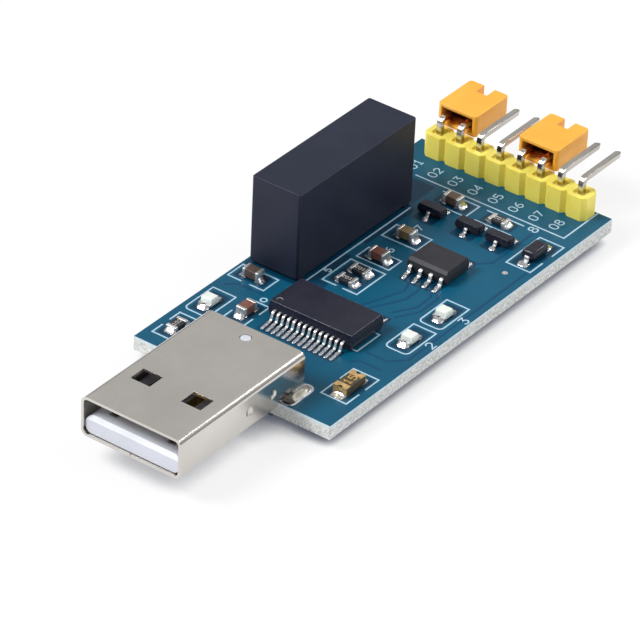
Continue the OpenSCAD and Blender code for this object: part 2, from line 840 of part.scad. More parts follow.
// Plating on the fuse's top, underside and end faces, and round the notches
module fuse_ends() {
    color("#c9ab62") placed(FUSE, 0) difference() {
        for (s = [-1, 1]) {
            translate([s * (fuse_len - fuse_end_len) / 2, 0, solder_film])
                standing_box([fuse_end_len, fuse_w, fuse_h]);
        }
        fuse_core();
        fuse_notches(fuse_notch_r);
    }
}

module lamp_base(i) {
    color("#e9efe6") placed(LAMPS[i], 0) block_core(chip_len, lamp_w, lamp_base_h);
}

module lamp_ends(i) {
    color("#d9d9d6") placed(LAMPS[i], 0) block_ends(chip_len, lamp_w, lamp_base_h, end_cap_len);
}

// The clear moulding on a lamp: drafted at its ends, as wide as the base
module lamp_lens(i) {
    low = solder_film + lamp_base_h - end_cap_t;
    high = solder_film + lamp_h;
    half = chip_len / 2 - end_cap_len;
    color("#dff2e2") placed(LAMPS[i], 0) intersection() {
        along_y(lamp_w - 2 * end_cap_t) polygon([
            [-half, low],
            [half, low],
            [half - lens_draft, high],
            [-half + lens_draft, high]
        ]);
        translate([-chip_len, 0, 0]) along_x(2 * chip_len) polygon([
            [-lamp_w / 2, low],
            [lamp_w / 2, low],
            [lamp_w / 2 - lens_draft, high],
            [-lamp_w / 2 + lens_draft, high]
        ]);
    }
}

// Pin header

// Plan of the strip: one eight-sided block for each pin, joined where they meet
module strip_plan() {
    half = strip_w / 2;
    step = pin_pitch / 2;
    for (i = [0:pin_count - 1]) {
        translate([header_x, header_pin_y(i)]) polygon([
            [-half, -step + strip_notch],
            [-half + strip_notch, -step],
            [half - strip_notch, -step],
            [half, -step + strip_notch],
            [half, step - strip_notch],
            [half - strip_notch, step],
            [-half + strip_notch, step],
            [-half, step - strip_notch]
        ]);
    }
}

module header_strip() {
    color("#e0d648") board_frame() linear_extrude(strip_h) difference() {
        strip_plan();
        for (i = [0:pin_count - 1]) {
            translate([header_x, header_pin_y(i)]) square(pin_t + 2 * WET_GAP, center = true);
        }
    }
}

// One square pin: up through the board and strip, round the bend and out past the board's end
module header_pin() {
    tip = pin_t * pin_tip_part;
    top_z = pin_level + pin_t;
    intersection() {
        along_y(pin_t) polygon(strip(
            [[header_x, floor_z], [header_x, pin_level], [pin_tip, pin_level]], pin_bend_r, pin_t));
        // The tail's end, pointed from both sides
        along_x(pin_tip + CUT) polygon([
            [-tip / 2, floor_z],
            [tip / 2, floor_z],
            [pin_t / 2, floor_z + pin_chamfer],
            [pin_t / 2, top_z],
            [-pin_t / 2, top_z],
            [-pin_t / 2, floor_z + pin_chamfer]
        ]);
        // The level end, pointed the same way
        translate([0, 0, floor_z]) linear_extrude(top_z - floor_z) polygon([
            [header_x - pin_t, -pin_t / 2],
            [pin_tip - pin_chamfer, -pin_t / 2],
            [pin_tip, -tip / 2],
            [pin_tip, tip / 2],
            [pin_tip - pin_chamfer, pin_t / 2],
            [header_x - pin_t, pin_t / 2]
        ]);
    }
}

module header_pins() {
    color("#cdc9c0") board_frame() for (i = [0:pin_count - 1]) {
        translate([0, header_pin_y(i), 0]) header_pin();
    }
}

// Jumper caps. Each is drawn round the level of its two pins, from its socket end

module jumper_frame(first) {
    board_frame() translate([cap_front, jumper_y(first), pin_level]) children();
}

module jumper_cap(first) {
    hole = pin_t + 2 * cap_pin_gap;
    color("#f2a531") jumper_frame(first) difference() {
        translate([cap_len / 2, 0, -cap_h / 2]) linear_extrude(cap_h) rounded_rect(cap_len, cap_w, cap_r);
        translate([(socket_depth - CUT) / 2, 0, -socket_h / 2])
            standing_box([socket_depth + CUT, socket_w, socket_h]);
        translate([cap_len - notch_depth / 2 + CUT / 2, 0, -cap_h])
            standing_box([notch_depth + CUT, notch_w, 2 * cap_h]);
        for (s = [-1, 1]) {
            translate([cap_len / 2 + socket_depth, s * pin_pitch / 2, -hole / 2])
                standing_box([cap_len + CUT, hole, hole]);
        }
    }
}

// The spring clip: two leaves that pinch both pins, joined by a web between the pins
module jumper_clip(first) {
    leaf = socket_h / 2 - clip_t / 2 - clip_gap;
    pinch = pin_t / 2 + clip_t / 2 + WET_GAP;
    rear = socket_depth - clip_t / 2 - cap_pin_gap;
    half_path = [
        [CLIP_STATIONS[0], pinch + clip_flare],
        [CLIP_STATIONS[1], pinch],
        [CLIP_STATIONS[2], pinch],
        [CLIP_STATIONS[3], leaf],
        [rear, leaf]
    ];
    path = concat([for (p = half_path) [p[0], -p[1]]], reversed(half_path));
    color("#c8963e") jumper_frame(first) difference() {
        along_y(socket_w - 2 * cap_pin_gap) polygon(strip(path, clip_t * CLIP_BEND, clip_t));
        for (s = [-1, 1]) {
            translate([rear, s * pin_pitch / 2, -leaf + clip_t])
                standing_box([CLIP_SLOT * clip_t, pin_t + 3 * cap_pin_gap, 2 * (leaf - clip_t)]);
        }
    }
}

// Solder

// A surface joint at a lead's end: film under the lead, and a hollow fillet that runs out to x = run
module surface_joint(under, run, width, rise) {
    along_y(width) polygon(concat(
        [[-under, 0], [run + joint_spread / 2, 0], [run, solder_film * JOINT_EDGE]],
        [for (a = [65:-25:15]) [run * (1 - cos(a)), solder_film + (rise - solder_film) * (1 - sin(a))]],
        [[0, rise], [0, solder_film], [-under, solder_film]]
    ));
}

// Both joints of a two-ended part
module end_joints(length, part_w, cap, rise) {
    width = part_w + joint_spread;
    for (turn = [0, 180]) {
        rotate([0, 0, turn]) translate([length / 2 + WET_GAP, 0, 0])
            surface_joint(cap, end_run, width, rise);
    }
}

module lead_joints(span, lead, width, run, near_ys, far_ys) {
    rise = solder_film + lead[1] * LEAD_WET;
    for (y = near_ys) {
        translate([-span / 2 - WET_GAP, y, 0]) mirror([1, 0, 0]) surface_joint(lead[2], run, width, rise);
    }
    for (y = far_ys) {
        translate([span / 2 + WET_GAP, y, 0]) surface_joint(lead[2], run, width, rise);
    }
}

module surface_solder() {
    color("#d9dadb") board_frame() {
        for (i = [0:len(CAPACITORS) - 1]) {
            translate([each CAPACITORS[i], 0]) rotate([0, 0, CAPACITOR_TURNS[i]])
                end_joints(chip_len, chip_w, end_cap_len, CAPACITOR_RISE);
        }
        for (i = [0:len(RESISTORS) - 1]) {
            translate([each RESISTORS[i], 0]) rotate([0, 0, RESISTOR_TURNS[i]])
                end_joints(chip_len, chip_w, end_cap_len, RESISTOR_RISE);
        }
        for (place = LAMPS) {
            translate([each place, 0]) end_joints(chip_len, lamp_w, end_cap_len, LAMP_RISE);
        }
        translate([each FUSE, 0]) end_joints(fuse_len, fuse_w, fuse_end_len, FUSE_RISE);
        translate([bridge_x, bridge_y, 0])
            lead_joints(bridge_span, BRIDGE_LEAD, BRIDGE_LEAD[0] + joint_spread, bridge_run, bridge_ys, bridge_ys);
        translate([isolator_x, isolator_y, 0]) lead_joints(isolator_span, ISOLATOR_LEAD,
            ISOLATOR_LEAD[0] + joint_spread, isolator_run, isolator_ys, isolator_ys);
        for (place = TRANSISTORS) {
            translate([each place, 0]) lead_joints(transistor_span, TRANSISTOR_LEAD,
                transistor_joint_w, transistor_run, [0], transistor_ys);
        }
        translate([each DIODE, 0])
            lead_joints(diode_span, DIODE_LEAD, diode_joint_w, diode_run, [0], [0]);
    }
}

// Solder that fills a round plated hole and rises up the lead below the board
module hole_joint(hole_r, lead) {
    fill_r = hole_r - WET_GAP;
    translate([0, 0, -board_t]) difference() {
        union() {
            cylinder(h = board_t, r = fill_r);
            rotate_extrude() polygon(concat(
                [[0, 0], [0, -fillet_h], [hole_r * FILLET_TOP, -fillet_h]],
                [for (a = [30:30:90])
                    [hole_r * (FILLET_TOP + FILLET_SPREAD * (1 - cos(a))), -fillet_h * (1 - sin(a))]]
            ));
        }
        translate([0, 0, -fillet_h - CUT])
            standing_box([lead[0] + 2 * WET_GAP, lead[1] + 2 * WET_GAP, board_t + fillet_h + 2 * CUT]);
    }
}

// Solder in a leg's slot: it fills the slot from the leg back, with a bank below the board
module leg_joint(y) {
    front = leg_front - leg_fill;
    bank = leg_w / 2 + leg_bank;
    difference() {
        union() {
            intersection() {
                translate([leg_slot_x, y, -board_t]) linear_extrude(board_t) leg_slot(-WET_GAP);
                translate([front, y - leg_slot_w, -board_t - CUT])
                    cube([leg_slot_len, 2 * leg_slot_w, board_t + 2 * CUT]);
            }
            translate([leg_rear - leg_w / 2, y, -board_t]) along_y(leg_slot_w + leg_bank) polygon([
                [-bank, 0],
                [bank, 0],
                [bank - leg_bank, -fillet_h],
                [-bank + leg_bank, -fillet_h]
            ]);
        }
        translate([leg_front - WET_GAP, y - shell_t / 2 - WET_GAP, floor_z - CUT])
            cube([leg_w + 2 * WET_GAP, shell_t + 2 * WET_GAP, board_t + tail_len + 2 * CUT]);
    }
}

module through_solder() {
    color("#d9dadb") board_frame() {
        for (y = contact_ys) {
            translate([contact_pin_x, y, 0]) hole_joint(contact_hole_r, [contact_t, contact_tail_w]);
        }
        for (place = CONVERTER_PINS) {
            translate([converter_pin_x(place), converter_y, 0]) hole_joint(converter_hole_r, converter_pin);
        }
        for (i = [0:pin_count - 1]) {
            translate([header_x, header_pin_y(i), 0]) hole_joint(header_hole_r, [pin_t, pin_t]);
        }
        for (y = leg_ys) {
            leg_joint(y);
        }
    }
}

circuit_board();
usb_shell();
usb_insert();
for (i = [0:3]) {
    usb_contact(i);
}
converter_case();
converter_potting();
converter_pins();
bridge_chip_body();
bridge_chip_leads();
isolator_chip_body();
isolator_chip_leads();
for (i = [0:2]) {
    name = ["power", "transmit", "receive"][i];
    lamp_base(i);
    lamp_ends(i);
    lamp_lens(i);
}
for (i = [0:len(CAPACITORS) - 1]) {
    capacitor_body(i);
    capacitor_ends(i);
}
for (i = [0:len(RESISTORS) - 1]) {
    resistor_body(i);
    resistor_ends(i);
}
for (i = [0:len(TRANSISTORS) - 1]) {
    transistor_body(i);
    transistor_leads(i);
}
diode_body();
diode_leads();
fuse_body();
fuse_ends();
header_strip();
header_pins();
for (i = [0:1]) {
    first = [0, 4][i];
    jumper_cap(first);
    jumper_clip(first);
}
surface_solder();
through_solder();
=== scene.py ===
"""Looks of a bare USB to serial adapter module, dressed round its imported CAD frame.

Every size comes from the CAD nodes or is written here in millimetres on the board: x runs from
the board's plug end towards its pin header, y across the board towards the converter, and z up
from the board's top face. BoardFrame turns those places into the module's own frame, in metres.
"""

import logging
import math
from collections.abc import Callable, Iterable, Sequence
from dataclasses import dataclass, replace
from enum import Enum

import bmesh
import bpy
from mathutils import Matrix, Vector, noise


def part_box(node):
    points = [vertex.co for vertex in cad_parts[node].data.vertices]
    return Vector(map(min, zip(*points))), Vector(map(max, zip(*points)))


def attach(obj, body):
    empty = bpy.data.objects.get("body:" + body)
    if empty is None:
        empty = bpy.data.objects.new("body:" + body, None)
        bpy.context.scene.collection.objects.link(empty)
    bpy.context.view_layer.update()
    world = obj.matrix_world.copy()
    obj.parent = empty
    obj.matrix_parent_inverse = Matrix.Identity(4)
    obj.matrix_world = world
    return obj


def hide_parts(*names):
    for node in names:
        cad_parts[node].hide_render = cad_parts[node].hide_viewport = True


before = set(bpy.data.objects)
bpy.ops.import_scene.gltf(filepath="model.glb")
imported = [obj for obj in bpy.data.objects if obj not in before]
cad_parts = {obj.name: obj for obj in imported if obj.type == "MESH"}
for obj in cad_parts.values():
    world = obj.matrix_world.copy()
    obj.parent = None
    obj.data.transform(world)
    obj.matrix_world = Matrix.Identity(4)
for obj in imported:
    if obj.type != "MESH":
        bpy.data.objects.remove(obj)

LOG = logging.getLogger("adapter_module")
MM = 0.001
BODY = "root"

Point2 = tuple[float, float]
Point3 = tuple[float, float, float]
Colour = tuple[float, float, float]


# ---------------------------------------------------------------- places and shapes


@dataclass(frozen=True)
class BoardFrame:
    """Where the board's own drawing lies in the module's frame."""

    origin: Vector
    length: float
    width: float
    thickness: float

    @classmethod
    def from_cad(cls) -> "BoardFrame":
        """Reads the board's place and size from its CAD node."""
        low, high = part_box("circuit_board")
        size = (high - low) / MM
        return cls(Vector((low.x, (low.y + high.y) / 2, high.z)), size.x, size.y, size.z)

    @property
    def to_module(self) -> Matrix:
        """Matrix from board millimetres to the module's frame in metres."""
        return Matrix.Translation(self.origin) @ Matrix.Scale(MM, 4)

    def box(self, node: str) -> tuple[Vector, Vector]:
        """Gives a CAD node's corners in board millimetres.

        Args:
            node: Name of the CAD node.

        Returns:
            The lowest and the highest corner.
        """
        low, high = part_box(node)
        return (low - self.origin) / MM, (high - self.origin) / MM


BOARD = BoardFrame.from_cad()


def srgb(red: int, green: int, blue: int) -> Colour:
    """Turns a display colour into the linear colour that a shader takes.

    Args:
        red: Red from 0 to 255.
        green: Green from 0 to 255.
        blue: Blue from 0 to 255.

    Returns:
        The linear colour.
    """

    def linear(value: float) -> float:
        """Undoes the display curve for one channel."""
        return value / 12.92 if value <= 0.04045 else ((value + 0.055) / 1.055) ** 2.4

    return linear(red / 255), linear(green / 255), linear(blue / 255)


class Form:
    """A mesh in the making, in board millimetres."""

    def __init__(self) -> None:
        """Starts with no points."""
        self.bm = bmesh.new()

    @classmethod
    def from_node(cls, node: str) -> "Form":
        """Copies a CAD node, joins its loose triangles and clears flat seams.

        Args:
            node: Name of the CAD node.

        Returns:
            The copy as a form.
        """
        form = cls()
        form.bm.from_mesh(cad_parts[node].data)
        form.bm.transform(BOARD.to_module.inverted())
        bmesh.ops.remove_doubles(form.bm, verts=form.bm.verts[:], dist=5e-4)
        bmesh.ops.dissolve_limit(
            form.bm, angle_limit=math.radians(1), verts=form.bm.verts[:], edges=form.bm.edges[:]
        )
        return form

    def softened(self, width: float, steps: int = 2, angle: float = 25.0) -> "Form":
        """Rounds every edge that is sharper than an angle.

        Args:
            width: Width of the rounding in millimetres.
            steps: Faces across it.
            angle: Smallest angle between faces, in degrees.

        Returns:
            The same form.
        """
        limit = math.radians(angle)
        edges = [e for e in self.bm.edges if len(e.link_faces) == 2 and e.calc_face_angle() > limit]
        bmesh.ops.bevel(
            self.bm, geom=edges, offset=width, segments=steps, profile=0.5, affect="EDGES",
            clamp_overlap=True, loop_slide=True,
        )
        return self

    def skin(self, rings: Sequence[Sequence[Point3]], capped: bool = True, looped: bool = False) -> None:
        """Joins rings of equally many points into a closed skin.

        Args:
            rings: The rings, in order.
            capped: Whether the first and last ring are filled.
            looped: Whether the last ring joins the first.
        """
        rows = [[self.bm.verts.new(p) for p in ring] for ring in rings]
        pairs = list(zip(rows, rows[1:]))
        if looped:
            pairs.append((rows[-1], rows[0]))
        for near, far in pairs:
            for k, a in enumerate(near):
                n = (k + 1) % len(near)
                self.bm.faces.new((a, near[n], far[n], far[k]))
        if capped and not looped:
            self.bm.faces.new(tuple(reversed(rows[0])))
            self.bm.faces.new(tuple(rows[-1]))

    def prism(self, outline: Sequence[Point2], low: float, high: float) -> None:
        """Adds an upright prism.

        Args:
            outline: Its plan, anticlockwise.
            low: Height of its underside.
            high: Height of its top.
        """
        self.skin([[(x, y, z) for x, y in outline] for z in (low, high)])

    def block(self, centre: Point3, size: Point3, radius: float, steps: int = 3) -> None:
        """Adds a block with rounded edges.

        Args:
            centre: Its middle.
            size: Its three sizes.
            radius: Radius of its edges.
            steps: Faces across each edge.
        """
        place = Matrix.Translation(centre) @ Matrix.Diagonal((*size, 1))
        made = bmesh.ops.create_cube(self.bm, size=1, matrix=place)
        edges = list({e for v in made["verts"] for e in v.link_edges})
        bmesh.ops.bevel(
            self.bm, geom=edges, offset=radius, segments=steps, profile=0.5, affect="EDGES", clamp_overlap=True
        )

    def lathe(self, profile: Sequence[Point2], centre: Point2, steps: int = 28) -> None:
        """Turns a profile round an upright axis.

        Args:
            profile: Radius and height of each point; it starts and ends on the axis.
            centre: The axis's place.
            steps: Faces round it.
        """
        rings = []
        for r, z in profile[1:-1]:
            turn = [2 * math.pi * k / steps for k in range(steps)]
            rings.append([(centre[0] + r * math.cos(a), centre[1] + r * math.sin(a), z) for a in turn])
        self.skin(rings)

    def stroke(self, path: Sequence[Point2], width: float, low: float, high: float, closed: bool = False) -> None:
        """Adds a flat line of even width, with mitred corners.

        Args:
            path: Its middle line.
            width: Its width.
            low: Height of its underside.
            high: Height of its top.
            closed: Whether it ends where it starts.
        """
        count = len(path)
        sections = []
        for i in range(count):
            here = Vector(path[i])
            before = here - Vector(path[i - 1]) if closed or i > 0 else None
            after = Vector(path[(i + 1) % count]) - here if closed or i < count - 1 else None
            a = (before or after).normalized()
            b = (after or before).normalized()
            across = Vector((-a.y - b.y, a.x + b.x)).normalized()
            reach = width / 2 / max(0.35, across.dot(Vector((-a.y, a.x))))
            left, right = here + across * reach, here - across * reach
            sections.append([(*left, low), (*right, low), (*right, high), (*left, high)])
        self.skin(sections, looped=closed)

    def mound(self, start: Point3, heading: Point2, runs: Sequence[Point3], sides: int = 9,
              power: float = 0.6) -> None:
        """Adds a heap of solder whose cross-section is a low arch.

        Args:
            start: Where it starts, at the board's face.
            heading: Direction that it runs in.
            runs: Distance along it, half width and height of each section.
            sides: Points across each arch.
            power: Shape of the arch; 1 is round and less is squarer.
        """
        along = Vector(heading).normalized()
        across = Vector((-along.y, along.x))
        rings = []
        for run, half, rise in runs:
            ring = []
            for k in range(sides):
                turn = math.pi * k / (sides - 1)
                side = math.cos(turn) * half
                lift = math.sin(turn) ** power * rise
                here = Vector(start[:2]) + along * run + across * side
                ring.append((here.x, here.y, start[2] + lift))
            rings.append(ring)
        self.skin(rings)

    def tube(self, path: Sequence[Point3], radii: Sequence[float], sides: int = 8) -> None:
        """Adds a round bead along a path.

        Args:
            path: Points of its middle line.
            radii: Its radius at each of them.
            sides: Faces round it.
        """
        rings = []
        for k, (point, radius) in enumerate(zip(path, radii)):
            before, after = path[max(k - 1, 0)], path[min(k + 1, len(path) - 1)]
            along = (Vector(after) - Vector(before)).normalized()
            across = along.cross(Vector((0, 0, 1))).normalized()
            up = across.cross(along)
            turns = [math.tau * step / sides for step in range(sides)]
            rings.append([tuple(Vector(point) + (across * math.cos(t) + up * math.sin(t)) * radius) for t in turns])
        self.skin(rings)

    def ruffled(self, size: float, amount: float, seed: float = 0.0) -> "Form":
        """Moves every point a little, by a smooth noise, so that a poured shape isn't perfect.

        Args:
            size: Distance over which the noise changes, in millimetres.
            amount: Largest move in millimetres.
            seed: Shifts the noise.

        Returns:
            The same form.
        """
        for v in self.bm.verts:
            v.co += noise.noise_vector(v.co / size + Vector((seed, seed, seed))) * amount
        return self

    def turned(self, place: Point2, degrees: float) -> "Form":
        """Turns the form about the upright axis and moves it to its place on the board.

        Args:
            place: Where its own middle goes.
            degrees: Turn, anticlockwise from above.

        Returns:
            The same form.
        """
        spin = Matrix.Rotation(math.radians(degrees), 4, "Z")
        self.bm.transform(Matrix.Translation((*place, 0)) @ spin)
        return self


def arc(centre: Point2, radius: float, start: float, stop: float, steps: int) -> list[Point2]:
    """Gives points on an arc.

    Args:
        centre: Its centre.
        radius: Its radius.
        start: First angle in degrees.
        stop: Last angle in degrees.
        steps: Number of parts.

    Returns:
        The points, steps + 1 of them.
    """
    turns = [math.radians(start + (stop - start) * k / steps) for k in range(steps + 1)]
    return [(centre[0] + radius * math.cos(a), centre[1] + radius * math.sin(a)) for a in turns]


def rounded_box(low: Point2, high: Point2, radii: Sequence[float], steps: int = 5) -> list[Point2]:
    """Gives a rectangle's outline with its own radius at each corner, anticlockwise.

    Args:
        low: Corner with the lowest x and y.
        high: Corner with the highest x and y.
        radii: Radius at the corners low-low, high-low, high-high and low-high.
        steps: Parts of each round corner.

    Returns:
        The outline.
    """
    corners = ((low[0], low[1], 180), (high[0], low[1], 270), (high[0], high[1], 0), (low[0], high[1], 90))
    outline: list[Point2] = []
    for (x, y, angle), r in zip(corners, radii):
        if r <= 0:
            outline.append((x, y))
            continue
        inward_x = r if x == low[0] else -r
        inward_y = r if y == low[1] else -r
        outline += arc((x + inward_x, y + inward_y), r, angle, angle + 90, steps)
    return outline


def stadium(centre: Point2, length: float, width: float, steps: int = 10) -> list[Point2]:
    """Gives the outline of a slot with round ends along x, anticlockwise."""
    half = (length - width) / 2
    right = arc((centre[0] + half, centre[1]), width / 2, -90, 90, steps)
    left = arc((centre[0] - half, centre[1]), width / 2, 90, 270, steps)
    return right + left


# ---------------------------------------------------------------- finishes


class Graph:
    """Lays nodes into one node tree."""

    def __init__(self, tree: bpy.types.NodeTree) -> None:
        """Takes the tree that the nodes go into."""
        self.tree = tree

    def node(self, kind: str, sockets: dict | None = None, **settings: object) -> bpy.types.Node:
        """Adds one node.

        Args:
            kind: Blender's name for the node.
            sockets: Value or output socket for each named or numbered input.
            **settings: Properties of the node itself.

        Returns:
            The node.
        """
        made = self.tree.nodes.new(kind)
        made.location = (200 * len(self.tree.nodes), 0)
        for name, value in settings.items():
            setattr(made, name, value)
        for name, value in (sockets or {}).items():
            if isinstance(value, bpy.types.NodeSocket):
                self.tree.links.new(value, made.inputs[name])
            else:
                made.inputs[name].default_value = value
        return made

    def math(self, operation: str, *values: object, clamp: bool = False) -> bpy.types.NodeSocket:
        """Adds a Math node and gives its output."""
        made = self.node("ShaderNodeMath", dict(enumerate(values)), operation=operation, use_clamp=clamp)
        return made.outputs[0]

    def spread(self, value: bpy.types.NodeSocket, low: float, high: float, to_low: float = 0.0,
               to_high: float = 1.0) -> bpy.types.NodeSocket:
        """Stretches a value's range with a Map Range node and gives its output."""
        sockets = {0: value, 1: low, 2: high, 3: to_low, 4: to_high}
        return self.node("ShaderNodeMapRange", sockets, clamp=True).outputs[0]

    def blend(self, share: object, first: object, second: object) -> bpy.types.NodeSocket:
        """Mixes two colours and gives the result."""
        made = self.node("ShaderNodeMix", {0: share, 6: first, 7: second}, data_type="RGBA")
        return made.outputs[2]


def rgba(colour: Colour) -> tuple[float, float, float, float]:
    """Adds a full alpha to a colour."""
    return (*colour, 1.0)


class Effect(Enum):
    """Surface effects that several finishes share, each a shader node group."""

    DRIFT = "tone_drift"
    GRAIN = "fine_grain"
    STREAKS = "drawn_streaks"
    SPECKLE = "speckle"


class EffectLibrary:
    """Builds each shared effect once."""

    def __init__(self) -> None:
        """Starts with no groups."""
        self.made: dict[Effect, bpy.types.NodeTree] = {}
        self.makers: dict[Effect, Callable[[Graph, dict], bpy.types.NodeSocket]] = {
            Effect.DRIFT: self._drift,
            Effect.GRAIN: self._grain,
            Effect.STREAKS: self._streaks,
            Effect.SPECKLE: self._speckle,
        }

    def place(self, graph: Graph, effect: Effect, place: bpy.types.NodeSocket, scale: float,
              amount: float) -> bpy.types.NodeSocket:
        """Puts an effect into a material.

        Args:
            graph: The material's graph.
            effect: Which effect.
            place: Place on the surface, in millimetres.
            scale: How often it repeats in a millimetre.
            amount: Its strength, from 0 to 1.

        Returns:
            The effect's mask.
        """
        if effect not in self.made:
            self.made[effect] = self._build(effect)
        made = graph.node("ShaderNodeGroup", node_tree=self.made[effect])
        graph.tree.links.new(place, made.inputs["Place"])
        made.inputs["Scale"].default_value = scale
        made.inputs["Amount"].default_value = amount
        return made.outputs["Mask"]

    def _build(self, effect: Effect) -> bpy.types.NodeTree:
        """Builds one group with the sockets that all effects share."""
        tree = bpy.data.node_groups.new(effect.value, "ShaderNodeTree")
        tree.interface.new_socket("Place", in_out="INPUT", socket_type="NodeSocketVector")
        tree.interface.new_socket("Scale", in_out="INPUT", socket_type="NodeSocketFloat")
        tree.interface.new_socket("Amount", in_out="INPUT", socket_type="NodeSocketFloat")
        tree.interface.new_socket("Mask", in_out="OUTPUT", socket_type="NodeSocketFloat")
        graph = Graph(tree)
        given = graph.node("NodeGroupInput").outputs
        mask = self.makers[effect](graph, given)
        graph.node("NodeGroupOutput", {"Mask": mask})
        return tree

    @staticmethod
    def _drift(graph: Graph, given: dict) -> bpy.types.NodeSocket:
        """Slow change of tone, as in a cast or coated surface."""
        sockets = {"Vector": given["Place"], "Scale": given["Scale"], "Detail": 3.0, "Roughness": 0.55}
        wave = graph.node("ShaderNodeTexNoise", sockets).outputs[0]
        return graph.math("MULTIPLY", graph.spread(wave, 0.3, 0.7), given["Amount"])

    @staticmethod
    def _grain(graph: Graph, given: dict) -> bpy.types.NodeSocket:
        """Fine even roughness of a moulded or plated skin."""
        sockets = {"Vector": given["Place"], "Scale": given["Scale"], "Detail": 5.0, "Roughness": 0.7}
        wave = graph.node("ShaderNodeTexNoise", sockets).outputs[0]
        return graph.math("MULTIPLY", wave, given["Amount"])

    @staticmethod
    def _streaks(graph: Graph, given: dict) -> bpy.types.NodeSocket:
        """Fine lines along x, as on drawn sheet or wire."""
        drawn = graph.node("ShaderNodeVectorMath", {0: given["Place"], 1: (0.06, 1.0, 1.0)}, operation="MULTIPLY")
        sockets = {"Vector": drawn.outputs[0], "Scale": given["Scale"], "Detail": 4.0, "Roughness": 0.6}
        wave = graph.node("ShaderNodeTexNoise", sockets).outputs[0]
        return graph.math("MULTIPLY", graph.spread(wave, 0.3, 0.7), given["Amount"])

    @staticmethod
    def _speckle(graph: Graph, given: dict) -> bpy.types.NodeSocket:
        """Scattered small spots."""
        sockets = {"Vector": given["Place"], "Scale": given["Scale"]}
        cells = graph.node("ShaderNodeTexVoronoi", sockets, feature="F1").outputs["Distance"]
        spots = graph.spread(cells, 0.12, 0.3, 1.0, 0.0)
        return graph.math("MULTIPLY", spots, given["Amount"])


EFFECTS = EffectLibrary()


@dataclass(frozen=True)
class Finish:
    """A finish with a slow change of tone, grain and a plain shader under them."""

    name: str
    colour: Colour
    drift: Colour
    roughness: float = 0.4
    drift_scale: float = 0.35
    drift_share: float = 1.0
    grain_scale: float = 9.0
    grain_depth: float = 0.01
    specular: float = 0.5
    metallic: float = 0.0
    coat: float = 0.0
    subsurface: float = 0.0
    transmission: float = 0.0

    def material(self) -> bpy.types.Material:
        """Gives the finish as a material, built the first time that it is asked for."""
        known = bpy.data.materials.get(self.name)
        if known:
            return known
        made = bpy.data.materials.new(self.name)
        made.use_nodes = True
        made.node_tree.nodes.clear()
        graph = Graph(made.node_tree)
        coordinates = graph.node("ShaderNodeTexCoord").outputs["Object"]
        place = graph.node("ShaderNodeMapping", {"Vector": coordinates, "Scale": (1000.0, 1000.0, 1000.0)}).outputs[0]
        shader = graph.node("ShaderNodeBsdfPrincipled", self.constants())
        self.dress(graph, place, shader)
        graph.node("ShaderNodeOutputMaterial", {"Surface": shader.outputs[0]})
        return made

    def constants(self) -> dict:
        """Gives the shader's sockets that are the same all over the surface."""
        values = {
            "Metallic": self.metallic,
            "Specular IOR Level": self.specular,
            "Coat Weight": self.coat,
            "Coat Roughness": 0.12,
            "Subsurface Weight": self.subsurface,
            "Transmission Weight": self.transmission,
        }
        if self.subsurface:
            values["Subsurface Radius"] = (1.0, 0.7, 0.35)
            values["Subsurface Scale"] = 0.0006
        return values

    def dress(self, graph: Graph, place: bpy.types.NodeSocket, shader: bpy.types.Node) -> None:
        """Feeds colour, roughness and normal.

        Args:
            graph: The material's graph.
            place: Place on the surface, in millimetres.
            shader: The material's shader.
        """
        drift = EFFECTS.place(graph, Effect.DRIFT, place, self.drift_scale, self.drift_share)
        colour = graph.blend(drift, rgba(self.colour), rgba(self.drift))
        self.wire(graph, shader, colour, drift, EFFECTS.place(graph, Effect.GRAIN, place, self.grain_scale, 1.0))

    def wire(self, graph: Graph, shader: bpy.types.Node, colour: bpy.types.NodeSocket,
             mask: bpy.types.NodeSocket, height: bpy.types.NodeSocket) -> None:
        """Joins the made colour, mask and height to the shader."""
        rough = graph.spread(mask, 0.0, 1.0, self.roughness * 0.85, min(1.0, self.roughness * 1.15))
        bump = graph.node("ShaderNodeBump", {"Height": height, "Strength": 0.6, "Distance": self.grain_depth * MM})
        graph.tree.links.new(colour, shader.inputs["Base Color"])
        graph.tree.links.new(rough, shader.inputs["Roughness"])
        graph.tree.links.new(bump.outputs[0], shader.inputs["Normal"])


@dataclass(frozen=True)
class SheetMetal(Finish):
    """Plated metal with drawing streaks and faint stains."""

    streak_scale: float = 14.0
    metallic: float = 1.0

    def dress(self, graph: Graph, place: bpy.types.NodeSocket, shader: bpy.types.Node) -> None:
        """Feeds colour, roughness and normal, with streaks along x."""
        drift = EFFECTS.place(graph, Effect.DRIFT, place, self.drift_scale, self.drift_share)
        streaks = EFFECTS.place(graph, Effect.STREAKS, place, self.streak_scale, 1.0)
        tone = graph.math("ADD", graph.math("MULTIPLY", drift, 0.6), graph.math("MULTIPLY", streaks, 0.4))
        colour = graph.blend(tone, rgba(self.colour), rgba(self.drift))
        grain = EFFECTS.place(graph, Effect.GRAIN, place, self.grain_scale, 0.5)
        self.wire(graph, shader, colour, tone, graph.math("ADD", streaks, grain))


@dataclass(frozen=True)
class ContactPlating(SheetMetal):
    """Gold over the blade of a contact, and tin over its soldered tail."""

    tail: Colour = srgb(170, 170, 168)

    def dress(self, graph: Graph, place: bpy.types.NodeSocket, shader: bpy.types.Node) -> None:
        """Feeds gold or tin by how far back the surface lies."""
        edge = BOARD.origin.x / MM
        along = graph.node("ShaderNodeSeparateXYZ", {0: place}).outputs["X"]
        drift = EFFECTS.place(graph, Effect.DRIFT, place, self.drift_scale, self.drift_share)
        blade = graph.blend(drift, rgba(self.colour), rgba(self.drift))
        colour = graph.blend(graph.spread(along, edge - 1.2, edge - 0.8), blade, rgba(self.tail))
        self.wire(graph, shader, colour, drift, EFFECTS.place(graph, Effect.STREAKS, place, self.streak_scale, 1.0))


